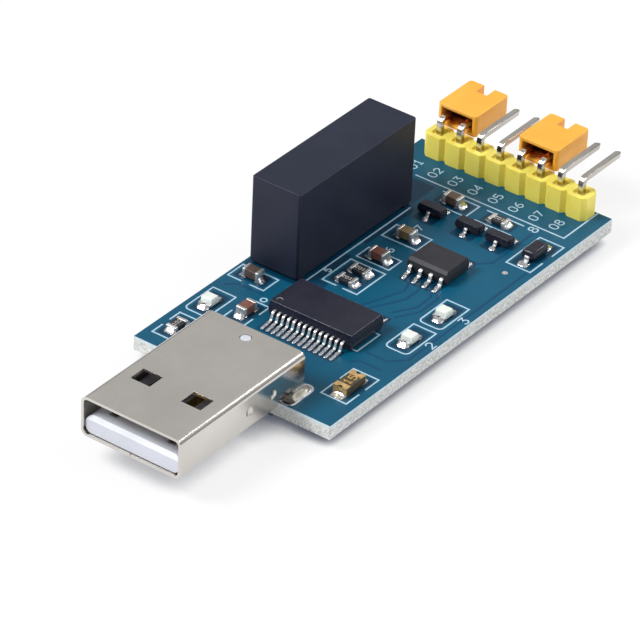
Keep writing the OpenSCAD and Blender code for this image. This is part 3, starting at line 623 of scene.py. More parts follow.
@dataclass(frozen=True)
class BoardFinish(Finish):
    """Solder mask on the two faces, and cut glass-fibre laminate on every edge."""

    laminate: Colour = srgb(234, 236, 236)
    laminate_dark: Colour = srgb(132, 138, 120)
    laminate_top: Colour = srgb(200, 222, 230)

    def dress(self, graph: Graph, place: bpy.types.NodeSocket, shader: bpy.types.Node) -> None:
        """Feeds mask or laminate by which way the surface faces."""
        drift = EFFECTS.place(graph, Effect.DRIFT, place, self.drift_scale, self.drift_share)
        mask = graph.blend(drift, rgba(self.colour), rgba(self.drift))
        threads = EFFECTS.place(graph, Effect.DRIFT, place, 4.2, 1.0)
        spots = EFFECTS.place(graph, Effect.SPECKLE, place, 3.2, 0.9)
        worn = graph.math("MAXIMUM", graph.math("MULTIPLY", threads, 0.6), spots)
        laminate = graph.blend(worn, rgba(self.laminate), rgba(self.laminate_dark))
        height = graph.node("ShaderNodeSeparateXYZ", {0: place}).outputs["Z"]
        top = BOARD.origin.z / MM
        rim = graph.math("MULTIPLY", graph.spread(height, top - 0.4, top - 0.2), 0.75)
        laminate = graph.blend(rim, laminate, rgba(self.laminate_top))
        normal = graph.node("ShaderNodeNewGeometry").outputs["Normal"]
        up = graph.node("ShaderNodeSeparateXYZ", {0: normal}).outputs["Z"]
        level = graph.math("GREATER_THAN", graph.math("ABSOLUTE", up), 0.97)
        colour = graph.blend(level, laminate, mask)
        rough = graph.spread(level, 0.0, 1.0, 0.75, self.roughness)
        fibres = EFFECTS.place(graph, Effect.GRAIN, place, 6.0, 1.0)
        waves = EFFECTS.place(graph, Effect.GRAIN, place, 1.6, 0.35)
        height = graph.node("ShaderNodeMix", {0: level, 2: fibres, 3: waves}).outputs[0]
        bump = graph.node("ShaderNodeBump", {"Height": height, "Strength": 0.5, "Distance": self.grain_depth * MM})
        graph.tree.links.new(colour, shader.inputs["Base Color"])
        graph.tree.links.new(rough, shader.inputs["Roughness"])
        graph.tree.links.new(bump.outputs[0], shader.inputs["Normal"])


@dataclass(frozen=True)
class SpeckledMould(Finish):
    """Moulded compound with fine pale specks of filler, and a pale colour painted on its rounded top edges as a
    highlight.
    """

    edge_roughness: float = 0.2
    speck: Colour = srgb(96, 97, 104)
    speck_scale: float = 7.0
    speck_share: float = 0.25
    # edge and its share: colour and strength of the painted highlight on the rounded top edges.
    edge: Colour = srgb(168, 170, 178)
    painted_highlight_share: float = 0.0

    def dress(self, graph: Graph, place: bpy.types.NodeSocket, shader: bpy.types.Node) -> None:
        """Feeds colour with specks and the painted edge highlight, roughness and normal."""
        drift = EFFECTS.place(graph, Effect.DRIFT, place, self.drift_scale, self.drift_share)
        ground = graph.blend(drift, rgba(self.colour), rgba(self.drift))
        specks = EFFECTS.place(graph, Effect.SPECKLE, place, self.speck_scale, self.speck_share)
        grain = EFFECTS.place(graph, Effect.GRAIN, place, self.grain_scale, 1.0)
        normal = graph.node("ShaderNodeNewGeometry").outputs["Normal"]
        up = graph.node("ShaderNodeSeparateXYZ", {0: normal}).outputs["Z"]
        colour = graph.blend(specks, ground, rgba(self.speck))
        # Painted highlight: a band over the rounded top edges, between side and top, takes the pale edge colour.
        rim = graph.math("MULTIPLY", graph.spread(up, 0.35, 0.6), graph.spread(up, 0.86, 0.97, 1.0, 0.0))
        colour = graph.blend(graph.math("MULTIPLY", rim, self.painted_highlight_share), colour, rgba(self.edge))
        self.wire(graph, shader, colour, drift, grain)
        worn = graph.spread(up, 0.8, 0.97, self.edge_roughness, self.roughness)
        graph.tree.links.new(worn, shader.inputs["Roughness"])


class Finishes:
    """Every finish of the module by what it is on."""

    board = BoardFinish("board_mask_and_laminate", srgb(2, 77, 105), srgb(8, 88, 117), roughness=0.33,
                        drift_scale=0.12, specular=0.22, grain_depth=0.02)
    # Darker mask where copper is cut back, also used as painted shade beside the converter.
    bare = Finish("mask_over_bare_laminate_and_painted_shade", srgb(3, 52, 78), srgb(5, 60, 88), roughness=0.36, specular=0.22)
    trace = Finish("mask_over_gap", srgb(2, 64, 98), srgb(6, 72, 106), roughness=0.36, specular=0.22)
    ink = Finish("printed_ink", srgb(186, 212, 228), srgb(168, 200, 220), roughness=0.6, drift_scale=1.5,
                 grain_scale=12.0, grain_depth=0.006)
    shell = SheetMetal("plug_shell_nickel", srgb(218, 214, 208), srgb(204, 199, 192), roughness=0.19,
                       drift_scale=0.18, grain_scale=10.0, grain_depth=0.0025)
    insert = Finish("plug_white_plastic", srgb(208, 211, 219), srgb(201, 204, 213), roughness=0.4,
                    subsurface=0.1, grain_depth=0.004)
    gold = ContactPlating("contact_gold", srgb(190, 156, 92), srgb(168, 132, 74), roughness=0.26, grain_depth=0.002)
    converter = Finish("converter_moulding", srgb(34, 38, 56), srgb(29, 33, 50), roughness=0.42, drift_scale=0.15,
                       grain_scale=5.0, grain_depth=0.012, specular=0.25)
    potting = Finish("converter_resin", srgb(26, 26, 28), srgb(34, 34, 36), roughness=0.25, drift_scale=0.4)
    # The chip's rounded top edges carry a painted highlight; the transistors' moulding turns it off.
    chip = SpeckledMould("chip_moulding", srgb(25, 27, 41), srgb(33, 34, 48), roughness=0.4, drift_scale=0.6,
                         grain_scale=6.0, grain_depth=0.03, specular=0.36, painted_highlight_share=0.8)
    small_mould = replace(chip, name="transistor_moulding", painted_highlight_share=0.0)
    isolator = SpeckledMould("isolator_moulding", srgb(36, 37, 44), srgb(44, 43, 50), roughness=0.42, drift_scale=0.6,
                             grain_scale=6.0, grain_depth=0.03, specular=0.36, edge_roughness=0.5)
    tin = SheetMetal("tinned_lead", srgb(206, 206, 206), srgb(176, 176, 178), roughness=0.2, drift_scale=1.4,
                     streak_scale=5.0, grain_depth=0.006)
    solder = Finish("bright_solder", srgb(216, 217, 220), srgb(176, 178, 182), roughness=0.15, metallic=1.0,
                    drift_scale=2.2, grain_scale=2.6, grain_depth=0.06)
    bank = Finish("dull_solder", srgb(206, 203, 190), srgb(170, 167, 154), roughness=0.42, metallic=0.85,
                  drift_scale=1.6, grain_scale=2.6, grain_depth=0.06)
    terminal = Finish("end_cap_tin", srgb(224, 224, 224), srgb(188, 187, 184), roughness=0.34, metallic=0.8,
                      drift_scale=2.0, grain_scale=5.0, grain_depth=0.03)
    lamp_base = Finish("lamp_white_base", srgb(226, 230, 220), srgb(206, 214, 198), roughness=0.5)
    lamp_lens = SpeckledMould("lamp_milky_lens", srgb(240, 244, 236), srgb(222, 234, 224), roughness=0.3,
                              drift_scale=1.4, subsurface=0.35, coat=0.2, speck=srgb(196, 206, 190),
                              speck_scale=5.0, speck_share=0.5)
    capacitor_red = Finish("capacitor_red_brown", srgb(132, 84, 70), srgb(108, 66, 56), roughness=0.42,
                           drift_scale=1.6)
    capacitor_dark = Finish("capacitor_dark_brown", srgb(92, 74, 68), srgb(74, 58, 54), roughness=0.4,
                            drift_scale=1.6)
    capacitor_olive = Finish("capacitor_olive_brown", srgb(140, 120, 88), srgb(116, 98, 72), roughness=0.42,
                             drift_scale=1.6)
    capacitor_brown = Finish("capacitor_mid_brown", srgb(112, 88, 72), srgb(92, 72, 58), roughness=0.42,
                             drift_scale=1.6)
    resistor = Finish("resistor_coat", srgb(40, 40, 46), srgb(30, 30, 36), roughness=0.35, drift_scale=1.2)
    resistor_code = Finish("resistor_code_ink", srgb(214, 212, 206), srgb(190, 188, 182), roughness=0.6)
    fuse = Finish("fuse_olive_body", srgb(84, 74, 46), srgb(64, 52, 38), roughness=0.35, drift_scale=1.4)
    fuse_end = Finish("fuse_gold_end", srgb(240, 208, 146), srgb(206, 164, 104), roughness=0.36, metallic=0.75,
                      drift_scale=1.6, grain_depth=0.02)
    fuse_mark = Finish("fuse_mark_ink", srgb(206, 170, 92), srgb(190, 152, 80), roughness=0.5)
    strip = Finish("header_yellow_plastic", srgb(254, 236, 112), srgb(248, 226, 96), roughness=0.34,
                   subsurface=0.3, drift_scale=0.5, grain_depth=0.006)
    pin = SheetMetal("header_pin_tin", srgb(206, 202, 194), srgb(182, 176, 168), roughness=0.2, grain_depth=0.003)
    cap = Finish("jumper_orange_plastic", srgb(252, 184, 66), srgb(248, 174, 56), roughness=0.34, subsurface=0.1,
                 drift_scale=0.3, grain_depth=0.006)
    clip = SheetMetal("clip_spring_brass", srgb(222, 150, 86), srgb(190, 118, 62), roughness=0.3)


# ---------------------------------------------------------------- pieces


@dataclass
class Workshop:
    """Turns forms into finished pieces that ride on the module."""

    count: int = 0
    row_tree: bpy.types.NodeTree | None = None

    def piece(self, name: str, form: Form, finish: Finish, slot: str, stands_for: Sequence[str] = (),
              smooth: float = 40.0) -> bpy.types.Object:
        """Finishes one form as an object at the origin.

        Args:
            name: The piece's name.
            form: Its shape, in board millimetres. It is used up.
            finish: Its finish.
            slot: Not used.
            stands_for: CAD nodes that it replaces.
            smooth: Largest angle that is shaded smooth, in degrees.

        Returns:
            The object.
        """
        mesh = self.levelled(self.mesh(name, form, smooth))
        mesh.materials.append(finish.material())
        return self.join(name, mesh, stands_for)

    def row(self, name: str, unit: Form, finish: Finish, slot: str, count: int, pitch: Point3,
            stands_for: Sequence[str] = (), smooth: float = 40.0) -> bpy.types.Object:
        """Repeats a unit along a line with Geometry Nodes and keeps the result as a plain mesh.

        Args:
            name: The piece's name.
            unit: The first unit, in board millimetres. It is used up.
            finish: The finish of all units.
            slot: Not used.
            count: Number of units.
            pitch: Step from one unit to the next, in millimetres.
            stands_for: CAD nodes that it replaces.
            smooth: Largest angle that is shaded smooth, in degrees.

        Returns:
            The object.
        """
        unit_mesh = self.levelled(self.mesh(name + "_unit", unit, smooth))
        unit_object = bpy.data.objects.new(name + "_unit", unit_mesh)
        bpy.context.scene.collection.objects.link(unit_object)
        modifier = unit_object.modifiers.new("row", "NODES")
        modifier.node_group = self.rows()
        sockets = {
            item.name: item.identifier
            for item in modifier.node_group.interface.items_tree
            if item.in_out == "INPUT"
        }
        modifier[sockets["Count"]] = count
        modifier[sockets["Pitch"]] = [value * MM for value in pitch]
        modifier[sockets["Finish"]] = finish.material()
        bpy.context.view_layer.update()
        done = unit_object.evaluated_get(bpy.context.evaluated_depsgraph_get())
        mesh = bpy.data.meshes.new_from_object(done)
        mesh.name = name
        bpy.data.objects.remove(unit_object)
        bpy.data.meshes.remove(unit_mesh)
        return self.join(name, mesh, stands_for)

    def rows(self) -> bpy.types.NodeTree:
        """Gives the tree that repeats a unit along a line."""
        if self.row_tree:
            return self.row_tree
        tree = bpy.data.node_groups.new("row_of_units", "GeometryNodeTree")
        tree.interface.new_socket("Unit", in_out="INPUT", socket_type="NodeSocketGeometry")
        tree.interface.new_socket("Count", in_out="INPUT", socket_type="NodeSocketInt")
        tree.interface.new_socket("Pitch", in_out="INPUT", socket_type="NodeSocketVector")
        tree.interface.new_socket("Finish", in_out="INPUT", socket_type="NodeSocketMaterial")
        tree.interface.new_socket("Row", in_out="OUTPUT", socket_type="NodeSocketGeometry")
        graph = Graph(tree)
        given = graph.node("NodeGroupInput").outputs
        places = graph.node("GeometryNodeMeshLine", {"Count": given["Count"], "Offset": given["Pitch"]}, mode="OFFSET")
        units = graph.node("GeometryNodeInstanceOnPoints", {"Points": places.outputs[0], "Instance": given["Unit"]})
        solid = graph.node("GeometryNodeRealizeInstances", {"Geometry": units.outputs[0]})
        dressed = graph.node("GeometryNodeSetMaterial", {"Geometry": solid.outputs[0], "Material": given["Finish"]})
        graph.node("NodeGroupOutput", {"Row": dressed.outputs[0]})
        self.row_tree = tree
        return tree

    @staticmethod
    def mesh(name: str, form: Form, smooth: float) -> bpy.types.Mesh:
        """Turns a form into a mesh in the module's frame."""
        bm = form.bm
        bm.transform(BOARD.to_module)
        bmesh.ops.recalc_face_normals(bm, faces=bm.faces[:])
        mesh = bpy.data.meshes.new(name)
        bm.to_mesh(mesh)
        bm.free()
        mesh.shade_smooth()
        mesh.set_sharp_from_angle(angle=math.radians(smooth))
        return mesh

    @staticmethod
    def levelled(mesh: bpy.types.Mesh) -> bpy.types.Mesh:
        """Keeps flat faces flat in the light, so that only their rounded edges turn it.

        Args:
            mesh: The mesh. It is used up.

        Returns:
            The same mesh, with normals weighted by face area.
        """
        name = mesh.name
        holder = bpy.data.objects.new(name, mesh)
        bpy.context.scene.collection.objects.link(holder)
        modifier = holder.modifiers.new("level", "WEIGHTED_NORMAL")
        modifier.keep_sharp = True
        modifier.weight = 100
        bpy.context.view_layer.update()
        done = bpy.data.meshes.new_from_object(holder.evaluated_get(bpy.context.evaluated_depsgraph_get()))
        bpy.data.objects.remove(holder)
        bpy.data.meshes.remove(mesh)
        done.name = name
        return done

    def join(self, name: str, mesh: bpy.types.Mesh, stands_for: Sequence[str]) -> bpy.types.Object:
        """Makes the object, has it ride on the module and hides the CAD nodes that it replaces."""
        made = bpy.data.objects.new(name, mesh)
        bpy.context.scene.collection.objects.link(made)
        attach(made, BODY)
        if stands_for:
            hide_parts(*stands_for)
        self.count += 1
        LOG.info("piece %s: %d faces", name, len(mesh.polygons))
        return made

    def cad(self, node: str, finish: Finish) -> None:
        """Gives a CAD node that stays in view its finish.

        Args:
            node: Name of the CAD node.
            finish: Its finish.
        """
        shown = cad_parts[node]
        if not shown.material_slots:
            shown.data.materials.append(None)
        for held in shown.material_slots:
            held.material = finish.material()
        self.count += 1
        LOG.info("CAD node %s stays, with finish %s", node, finish.name)

    def copy(self, node: str, name: str, finish: Finish, slot: str, edge: float, steps: int = 2,
             smooth: float = 40.0) -> bpy.types.Object:
        """Replaces a CAD node with a copy whose edges are softened.

        Args:
            node: Name of the CAD node.
            name: The piece's name.
            finish: Its finish.
            slot: Not used.
            edge: Width of the softened edges in millimetres.
            steps: Faces across each of them.
            smooth: Largest angle that is shaded smooth, in degrees.

        Returns:
            The object.
        """
        form = Form.from_node(node).softened(edge, steps)
        return self.piece(name, form, finish, slot, [node], smooth)


class StrokeDigits:
    """Plain digits drawn with a pen, each 0.7 wide and 1 high."""

    SHAPES: dict[str, list[list[Point2]]] = {
        "0": [[(0.2, 0), (0.5, 0), (0.7, 0.2), (0.7, 0.8), (0.5, 1), (0.2, 1), (0, 0.8), (0, 0.2), (0.2, 0)]],
        "1": [[(0.1, 0.75), (0.38, 1), (0.38, 0)], [(0.12, 0), (0.64, 0)]],
        "2": [[(0, 0.8), (0.2, 1), (0.5, 1), (0.7, 0.8), (0.7, 0.6), (0, 0), (0.7, 0)]],
        "3": [[(0, 1), (0.7, 1), (0.36, 0.6), (0.54, 0.57), (0.7, 0.4), (0.7, 0.18), (0.5, 0), (0.2, 0), (0, 0.15)]],
        "4": [[(0.52, 0), (0.52, 1), (0, 0.32), (0.7, 0.32)]],
        "5": [[(0.66, 1), (0.06, 1), (0, 0.55), (0.46, 0.6), (0.7, 0.42), (0.7, 0.18), (0.5, 0), (0.18, 0),
               (0, 0.14)]],
        "6": [[(0.62, 1), (0.3, 0.9), (0.04, 0.5), (0, 0.2), (0.2, 0), (0.5, 0), (0.7, 0.2), (0.68, 0.42),
               (0.48, 0.56), (0.2, 0.54), (0, 0.36)]],
        "7": [[(0, 1), (0.7, 1), (0.24, 0)]],
        "8": [[(0.2, 0.54), (0.04, 0.72), (0.06, 0.88), (0.22, 1), (0.48, 1), (0.64, 0.88), (0.66, 0.72),
               (0.5, 0.54), (0.2, 0.54), (0, 0.34), (0, 0.16), (0.2, 0), (0.5, 0), (0.7, 0.16), (0.7, 0.34),
               (0.5, 0.54)]],
    }

    @classmethod
    def write(cls, form: Form, text: str, start: Point2, height: float, pen: float, low: float, high: float,
              turned: bool = False) -> None:
        """Adds digits to a form.

        Args:
            form: The form that takes them.
            text: The digits.
            start: Lower left corner of the first one.
            height: Their height in millimetres.
            pen: Width of their lines.
            low: Height of the ink's underside.
            high: Height of the ink's top.
            turned: Whether the line of digits runs along y instead of x.
        """
        for k, digit in enumerate(text):
            for path in cls.SHAPES[digit]:
                points = [((k * 1.05 + x) * height, y * height) for x, y in path]
                if turned:
                    points = [(-y, x) for x, y in points]
                form.stroke([(start[0] + x, start[1] + y) for x, y in points], pen, low, high)


@dataclass
class CircuitBoard:
    """The bare board: laminate, mask, print and plated slots."""

    shop: Workshop
    edge: float = 0.1
    pen: float = 0.17
    ink: float = 0.02
    slot_length: float = 4.0
    slot_width: float = 1.5
    slot_rim: float = 0.15
    slot_places: tuple[Point2, ...] = ((2.2, -6.35), (2.2, 5.35))
    boxes: tuple[tuple[Point2, Point2, float], ...] = (
        ((7.1, 8.5), (11.8, 11.35), 0.55),
        ((14.5, -10.5), (19.4, -7.78), 0.55),
        ((20.15, -10.5), (25.0, -7.78), 0.55),
        ((25.55, -0.2), (27.7, 3.84), 0.0),
        ((30.3, -0.23), (32.9, 4.18), 0.0),
    )
    # Darker patches: most mark copper cut back round small parts; the strips along the converter's near side, y 2.9 to
    # 5.3, are painted shade cast by the converter.
    clearings_and_painted_shade: tuple[tuple[Point2, Point2], ...] = (
        ((17.35, 5.3), (41.2, 11.75)), ((17.35, 2.9), (19.75, 5.3)), ((19.75, 4.1), (25.3, 5.3)),
        ((28.0, 4.35), (36.4, 5.3)),
        ((2.05, 8.75), (5.85, 10.75)), ((7.45, 8.85), (11.3, 11.0)), ((8.45, 5.15), (12.2, 7.05)),
        ((14.85, 7.5), (16.7, 11.25)), ((14.85, -10.15), (19.0, -8.15)), ((20.5, -10.15), (24.6, -8.15)),
        ((20.3, 0.0), (24.4, 3.55)), ((25.7, -0.05), (27.55, 3.65)), ((30.6, 0.05), (32.6, 3.9)),
        ((4.35, -10.6), (8.95, -8.25)), ((38.95, 0.05), (40.75, 4.1)), ((39.0, -5.5), (40.8, -1.7)),
        ((34.75, -10.95), (40.0, -8.7)), ((8.75, -5.65), (10.95, 3.6)), ((16.75, -5.65), (18.7, 3.6)),
        ((25.0, -6.3), (26.7, -1.7)), ((30.6, -6.3), (32.4, -1.7)), ((35.0, 1.3), (38.6, 3.9)),
        ((35.0, -3.4), (38.6, -0.8)), ((35.0, -7.1), (38.6, -4.5)),
    )
    lines: tuple[tuple[Point2, ...], ...] = (
        ((3.4, 11.1), (1.75, 11.1), (1.75, 8.4), (6.15, 8.4), (6.15, 11.1), (4.5, 11.1)),
        ((9.8, 7.4), (8.1, 7.4), (8.1, 4.85), (9.8, 4.85)),
        ((10.8, 4.85), (12.5, 4.85), (12.5, 7.4), (10.8, 7.4)),
        ((14.5, 8.9), (14.5, 7.15), (17.0, 7.15), (17.0, 11.6), (14.5, 11.6), (14.5, 9.9)),
        ((19.95, 1.4), (19.95, -0.37), (24.75, -0.37), (24.75, 3.93), (19.95, 3.93), (19.95, 2.2)),
        ((18.5, 5.0), (36.4, 5.0)),
        ((11.9, -5.8), (11.9, -6.35), (15.65, -6.35), (15.65, -5.9)),
        ((6.1, -7.9), (4.0, -7.9), (4.0, -10.94), (6.1, -10.94)),
        ((7.1, -10.94), (9.3, -10.94), (9.3, -7.9), (7.1, -7.9)),
        ((38.6, 4.3), (38.6, -0.3), (41.1, -0.3), (41.1, 4.3)),
        ((38.75, -1.3), (38.75, -5.9)),
        ((41.05, -1.3), (41.05, -5.9)),
        ((36.6, -11.3), (34.4, -11.3), (34.4, -8.35), (40.35, -8.35), (40.35, -11.3), (38.2, -11.3)),
        ((41.8, 8.3), (41.8, -10.3), (47.9, -10.3)),
    )

    def build(self) -> None:
        """Builds the board's pieces."""
        self.shop.copy("circuit_board", "board", Finishes.board, "board", self.edge, 2)
        self.build_print()
        self.build_pads()
        self.build_gaps()
        self.build_underside()
        self.build_slots()

    def build_print(self) -> None:
        """Draws the white print: boxes, lines, marks and plain digits."""
        form = Form()
        for low, high, radius in self.boxes:
            outline = rounded_box(low, high, (radius, 0, 0, radius), 4)
            form.stroke(outline, self.pen, 0, self.ink, closed=True)
        for path in self.lines:
            form.stroke(path, self.pen, 0, self.ink)
        form.stroke(arc((13.2, 6.1), 0.33, 0, 340, 16), self.pen, 0, self.ink, closed=True)
        for k in range(8):
            place = (42.6, 7.5 * 2.54 / 2 - 0.5 - 2.54 * k)
            StrokeDigits.write(form, f"{k + 1:02d}", place, 0.95, 0.13, 0, self.ink)
        marks = (("8", (40.75, -7.5), 1.0), ("2", (17.0, -11.8), 1.0), ("3", (22.6, -11.8), 1.0),
                 ("5", (21.4, 4.15), 0.7), ("6", (28.3, 1.5), 0.9), ("7", (33.5, 1.6), 0.9))
        for digit, place, height in marks:
            StrokeDigits.write(form, digit, place, height, 0.15, 0, self.ink)
        self.shop.piece("board_print", form, Finishes.ink, "board")

    def build_pads(self) -> None:
        """Lays darker mask round the small parts, where the copper is cut back, and painted shade in strips along the
        converter's near side.
        """
        form = Form()
        for low, high in self.clearings_and_painted_shade:
            form.prism(rounded_box(low, high, (0.2, 0.2, 0.2, 0.2), 2), 0, 0.004)
        self.shop.piece("board_clearings_and_painted_shade", form, Finishes.bare, "board")

    def build_gaps(self) -> None:
        """Draws the darker lines where the mask dips between copper areas."""
        form = Form()
        paths = (
            ((19.0, -5.6), (21.5, -7.0), (24.5, -7.0), (26.0, -6.0)),
            ((19.6, -4.9), (22.0, -6.3), (24.3, -6.3), (25.6, -5.4)),
            ((18.6, -1.8), (23.6, -3.6), (25.4, -3.0)),
            ((18.6, -2.6), (22.4, -4.6), (25.0, -4.6)),
            ((31.9, -5.9), (33.4, -7.4), (40.6, -7.4)),
            ((12.4, -7.2), (12.4, -9.6), (13.9, -11.1), (34.0, -11.1)),
            ((9.9, -6.6), (10.8, -7.6), (10.8, -10.2)),
            ((6.9, 2.2), (8.4, 3.6), (11.0, 3.6)),
            ((12.9, 10.9), (13.9, 9.9), (13.9, 6.7)),
        )
        for path in paths:
            form.stroke(path, 0.28, 0, 0.006)
        self.shop.piece("board_mask_gaps", form, Finishes.trace, "board")

    def build_underside(self) -> None:
        """Draws the tracks, vias and pin numbers under the board."""
        low = -BOARD.thickness
        tracks, vias, numbers = Form(), Form(), Form()
        for k in range(8):
            y = 3.5 * 2.54 - 2.54 * k
            inward, end = y * 0.72, 33.5 - 1.3 * k
            tracks.stroke(((46.7, y), (43.4, y), (41.6, inward), (end, inward)), 0.3, low - 0.012, low)
            vias.lathe(((0, 0), (0.3, low), (0.3, low - 0.03), (0.16, low - 0.03), (0.14, low), (0, 0)), (end, inward))
            StrokeDigits.write(numbers, str(k + 1), (-45.6, y - 0.45), 0.9, 0.14, low - self.ink, low)
        numbers.bm.transform(Matrix.Diagonal((-1, 1, 1, 1)))
        self.shop.piece("underside_tracks", tracks, Finishes.trace, "board")
        self.shop.piece("underside_vias", vias, Finishes.tin, "solder")
        self.shop.piece("underside_numbers", numbers, Finishes.ink, "board")

    def build_slots(self) -> None:
        """Adds the plated rims and walls of the two slots, and one small via."""
        form = Form()
        for place in self.slot_places:
            inner = stadium(place, self.slot_length - 0.04, self.slot_width - 0.04)
            outer = stadium(place, self.slot_length + 2 * self.slot_rim, self.slot_width + 2 * self.slot_rim)
            wall = stadium(place, self.slot_length, self.slot_width)
            bottom = -BOARD.thickness
            rings = [(outer, 0.0), (outer, 0.03), (inner, 0.03), (inner, bottom - 0.03), (outer, bottom - 0.03),
                     (outer, bottom), (wall, bottom), (wall, 0.0)]
            form.skin([[(x, y, z) for x, y in ring] for ring, z in rings], looped=True)
        form.lathe(((0, 0), (0.3, 0), (0.3, 0.02), (0.16, 0.02), (0.14, 0.004), (0, 0.004)), (32.7, -9.4))
        self.shop.piece("board_plating", form, Finishes.tin, "solder")


@dataclass
class UsbPlug:
    """The plug: folded steel shell, white insert, contacts and the soldered legs."""

    shop: Workshop
    sheet_edge: float = 0.09
    insert_edge: float = 0.1

    def build(self) -> None:
        """Builds the plug's pieces."""
        self.shop.copy("usb_shell", "plug_shell", Finishes.shell, "plug_steel", self.sheet_edge, 2, 32)
        self.shop.copy("usb_insert", "plug_insert", Finishes.insert, "plug_plastic", self.insert_edge, 3)
        for k in range(1, 5):
            self.shop.cad(f"usb_contact_{k}", Finishes.gold)


@dataclass
class Converter:
    """The isolated converter: moulded case, potting and pins."""

    shop: Workshop
    edge: float = 0.16

    def build(self) -> None:
        """Builds the converter's pieces."""
        self.shop.copy("converter_case", "converter_case_moulding", Finishes.converter, "converter_case", self.edge, 3)
        self.shop.cad("converter_potting", Finishes.potting)
        self.shop.cad("converter_pins", Finishes.tin)


@dataclass(frozen=True)
class LeadShape:
    """Sizes of one gull-wing lead, in millimetres."""

    width: float
    thickness: float
    foot: float
    exit_height: float
    film: float = 0.08

    def outline(self, start: float, reach: float) -> list[Point2]:
        """Gives the lead's side view from the body's face to its toe.

        Args:
            start: Distance from the chip's middle to its face.
            reach: Distance from the chip's middle to the toe.

        Returns:
            Outline points as distance and height.
        """
        foot_z = self.film + self.thickness / 2
        ankle = reach - self.foot
        knee = start + (ankle - start) * 0.6
        path = [(start - 0.1, self.exit_height), (knee, self.exit_height), (ankle, foot_z), (reach, foot_z)]
        middle = bent_line(path, self.thickness * 1.1, 5)
        return banded(middle, self.thickness)


def bent_line(path: Sequence[Point2], radius: float, steps: int) -> list[Point2]:
    """Rounds the corners of an open line.

    Args:
        path: Its corners.
        radius: Distance from each corner at which its curve starts.
        steps: Parts of each curve.

    Returns:
        The rounded line.
    """
    rounded = [path[0]]
    for before, corner, after in zip(path, path[1:], path[2:]):
        here = Vector(corner)
        first = here + (Vector(before) - here).normalized() * radius
        last = here + (Vector(after) - here).normalized() * radius
        for k in range(steps + 1):
            t = k / steps
            point = first * (1 - t) ** 2 + here * 2 * t * (1 - t) + last * t * t
            rounded.append((point.x, point.y))
    rounded.append(path[-1])
    return rounded


def banded(line: Sequence[Point2], thickness: float) -> list[Point2]:
    """Gives the outline of a strip of even thickness round an open line."""
    left: list[Point2] = []
    right: list[Point2] = []
    for k, here in enumerate(line):
        before, after = line[max(k - 1, 0)], line[min(k + 1, len(line) - 1)]
        along = Vector((after[0] - before[0], after[1] - before[1])).normalized()
        across = Vector((-along.y, along.x)) * thickness / 2
        left.append((here[0] + across.x, here[1] + across.y))
        right.append((here[0] - across.x, here[1] - across.y))
    return left + right[::-1]


@dataclass
class LeadedChip:
    """A moulded chip with rows of gull-wing leads and their solder."""

    shop: Workshop
    name: str
    body_node: str
    lead_node: str
    middle: Point2
    half_width: float
    half_span: float
    lead: LeadShape
    rows: tuple[tuple[float, ...], tuple[float, ...]]
    solder_run: float
    body_edge: float = 0.08
    far_share: float = 0.72
    joint_half: float = 0.0
    finish: Finish = Finishes.chip

    def build(self) -> None:
        """Builds the chip's body, leads and solder."""
        self.shop.copy(self.body_node, f"{self.name}_moulding", self.finish, "chip_body", self.body_edge, 2)
        near, far = self.rows
        if near == far and len(near) > 1:
            pitch = (0, near[1] - near[0], 0)
            leads, solder = Form(), Form()
            for side in (-1, 1):
                self.add_lead(leads, side, near[0])
                self.add_solder(solder, side, near[0])
            self.shop.row(f"{self.name}_leads", leads, Finishes.tin, "tinned_lead", len(near), pitch,
                          [self.lead_node])
            self.shop.row(f"{self.name}_solder", solder, Finishes.solder, "solder", len(near), pitch,
                          ["surface_solder"])
            return
        leads, solder = Form(), Form()
        for side, places in ((-1, near), (1, far)):
            for y in places:
                self.add_lead(leads, side, y)
                self.add_solder(solder, side, y)
        self.shop.piece(f"{self.name}_leads", leads, Finishes.tin, "tinned_lead", [self.lead_node])
        self.shop.piece(f"{self.name}_solder", solder.ruffled(0.5, 0.03), Finishes.solder, "solder",
                        ["surface_solder"])

    def add_lead(self, form: Form, side: int, y: float) -> None:
        """Adds one lead on a side of the chip."""
        outline = self.lead.outline(self.half_width, self.half_span)
        soft = self.lead.width * 0.16
        half = self.lead.width / 2
        rings = []
        for offset, shrink in ((-half, soft), (-half + soft, 0), (half - soft, 0), (half, soft)):
            rings.append([(self.middle[0] + side * x, self.middle[1] + y + offset, z)
                          for x, z in banded_inset(outline, shrink)])
        form.skin(rings)

    def add_solder(self, form: Form, side: int, y: float) -> None:
        """Adds the solder round one foot and the tail of it past the toe."""
        half = self.joint_half or self.lead.width / 2 + 0.05
        top = self.lead.film + self.lead.thickness
        foot, run = self.lead.foot, self.solder_run * (1.0 if side < 0 else self.far_share)
        runs = (
            (-foot - 0.05, half * 0.5, 0.03), (-foot, half * 0.9, top * 0.6), (-foot * 0.5, half, top * 0.8),
            (0.0, half * 1.05, top * 1.05), (run * 0.15, half * 1.05, top * 0.95), (run * 0.35, half, top * 0.7),
            (run * 0.65, half * 0.95, top * 0.55), (run * 0.9, half * 0.8, top * 0.35), (run, half * 0.4, 0.02),
        )
        start = (self.middle[0] + side * self.half_span, self.middle[1] + y, 0.0)
        form.mound(start, (side, 0), runs, 9, 0.85)


def banded_inset(outline: Sequence[Point2], inset: float) -> list[Point2]:
    """Draws a strip's outline in from both of its long sides.

    Args:
        outline: The strip's outline, its two sides one after the other.
        inset: How far each side moves in.

    Returns:
        The narrower outline.
    """
    if inset <= 0:
        return list(outline)
    half = len(outline) // 2
    moved: list[Point2] = [(0.0, 0.0)] * len(outline)
    for k in range(half):
        a, b = Vector(outline[k]), Vector(outline[-1 - k])
        towards = (b - a).normalized() * min(inset, (b - a).length * 0.4)
        moved[k] = tuple(a + towards)
        moved[-1 - k] = tuple(b - towards)
    return moved


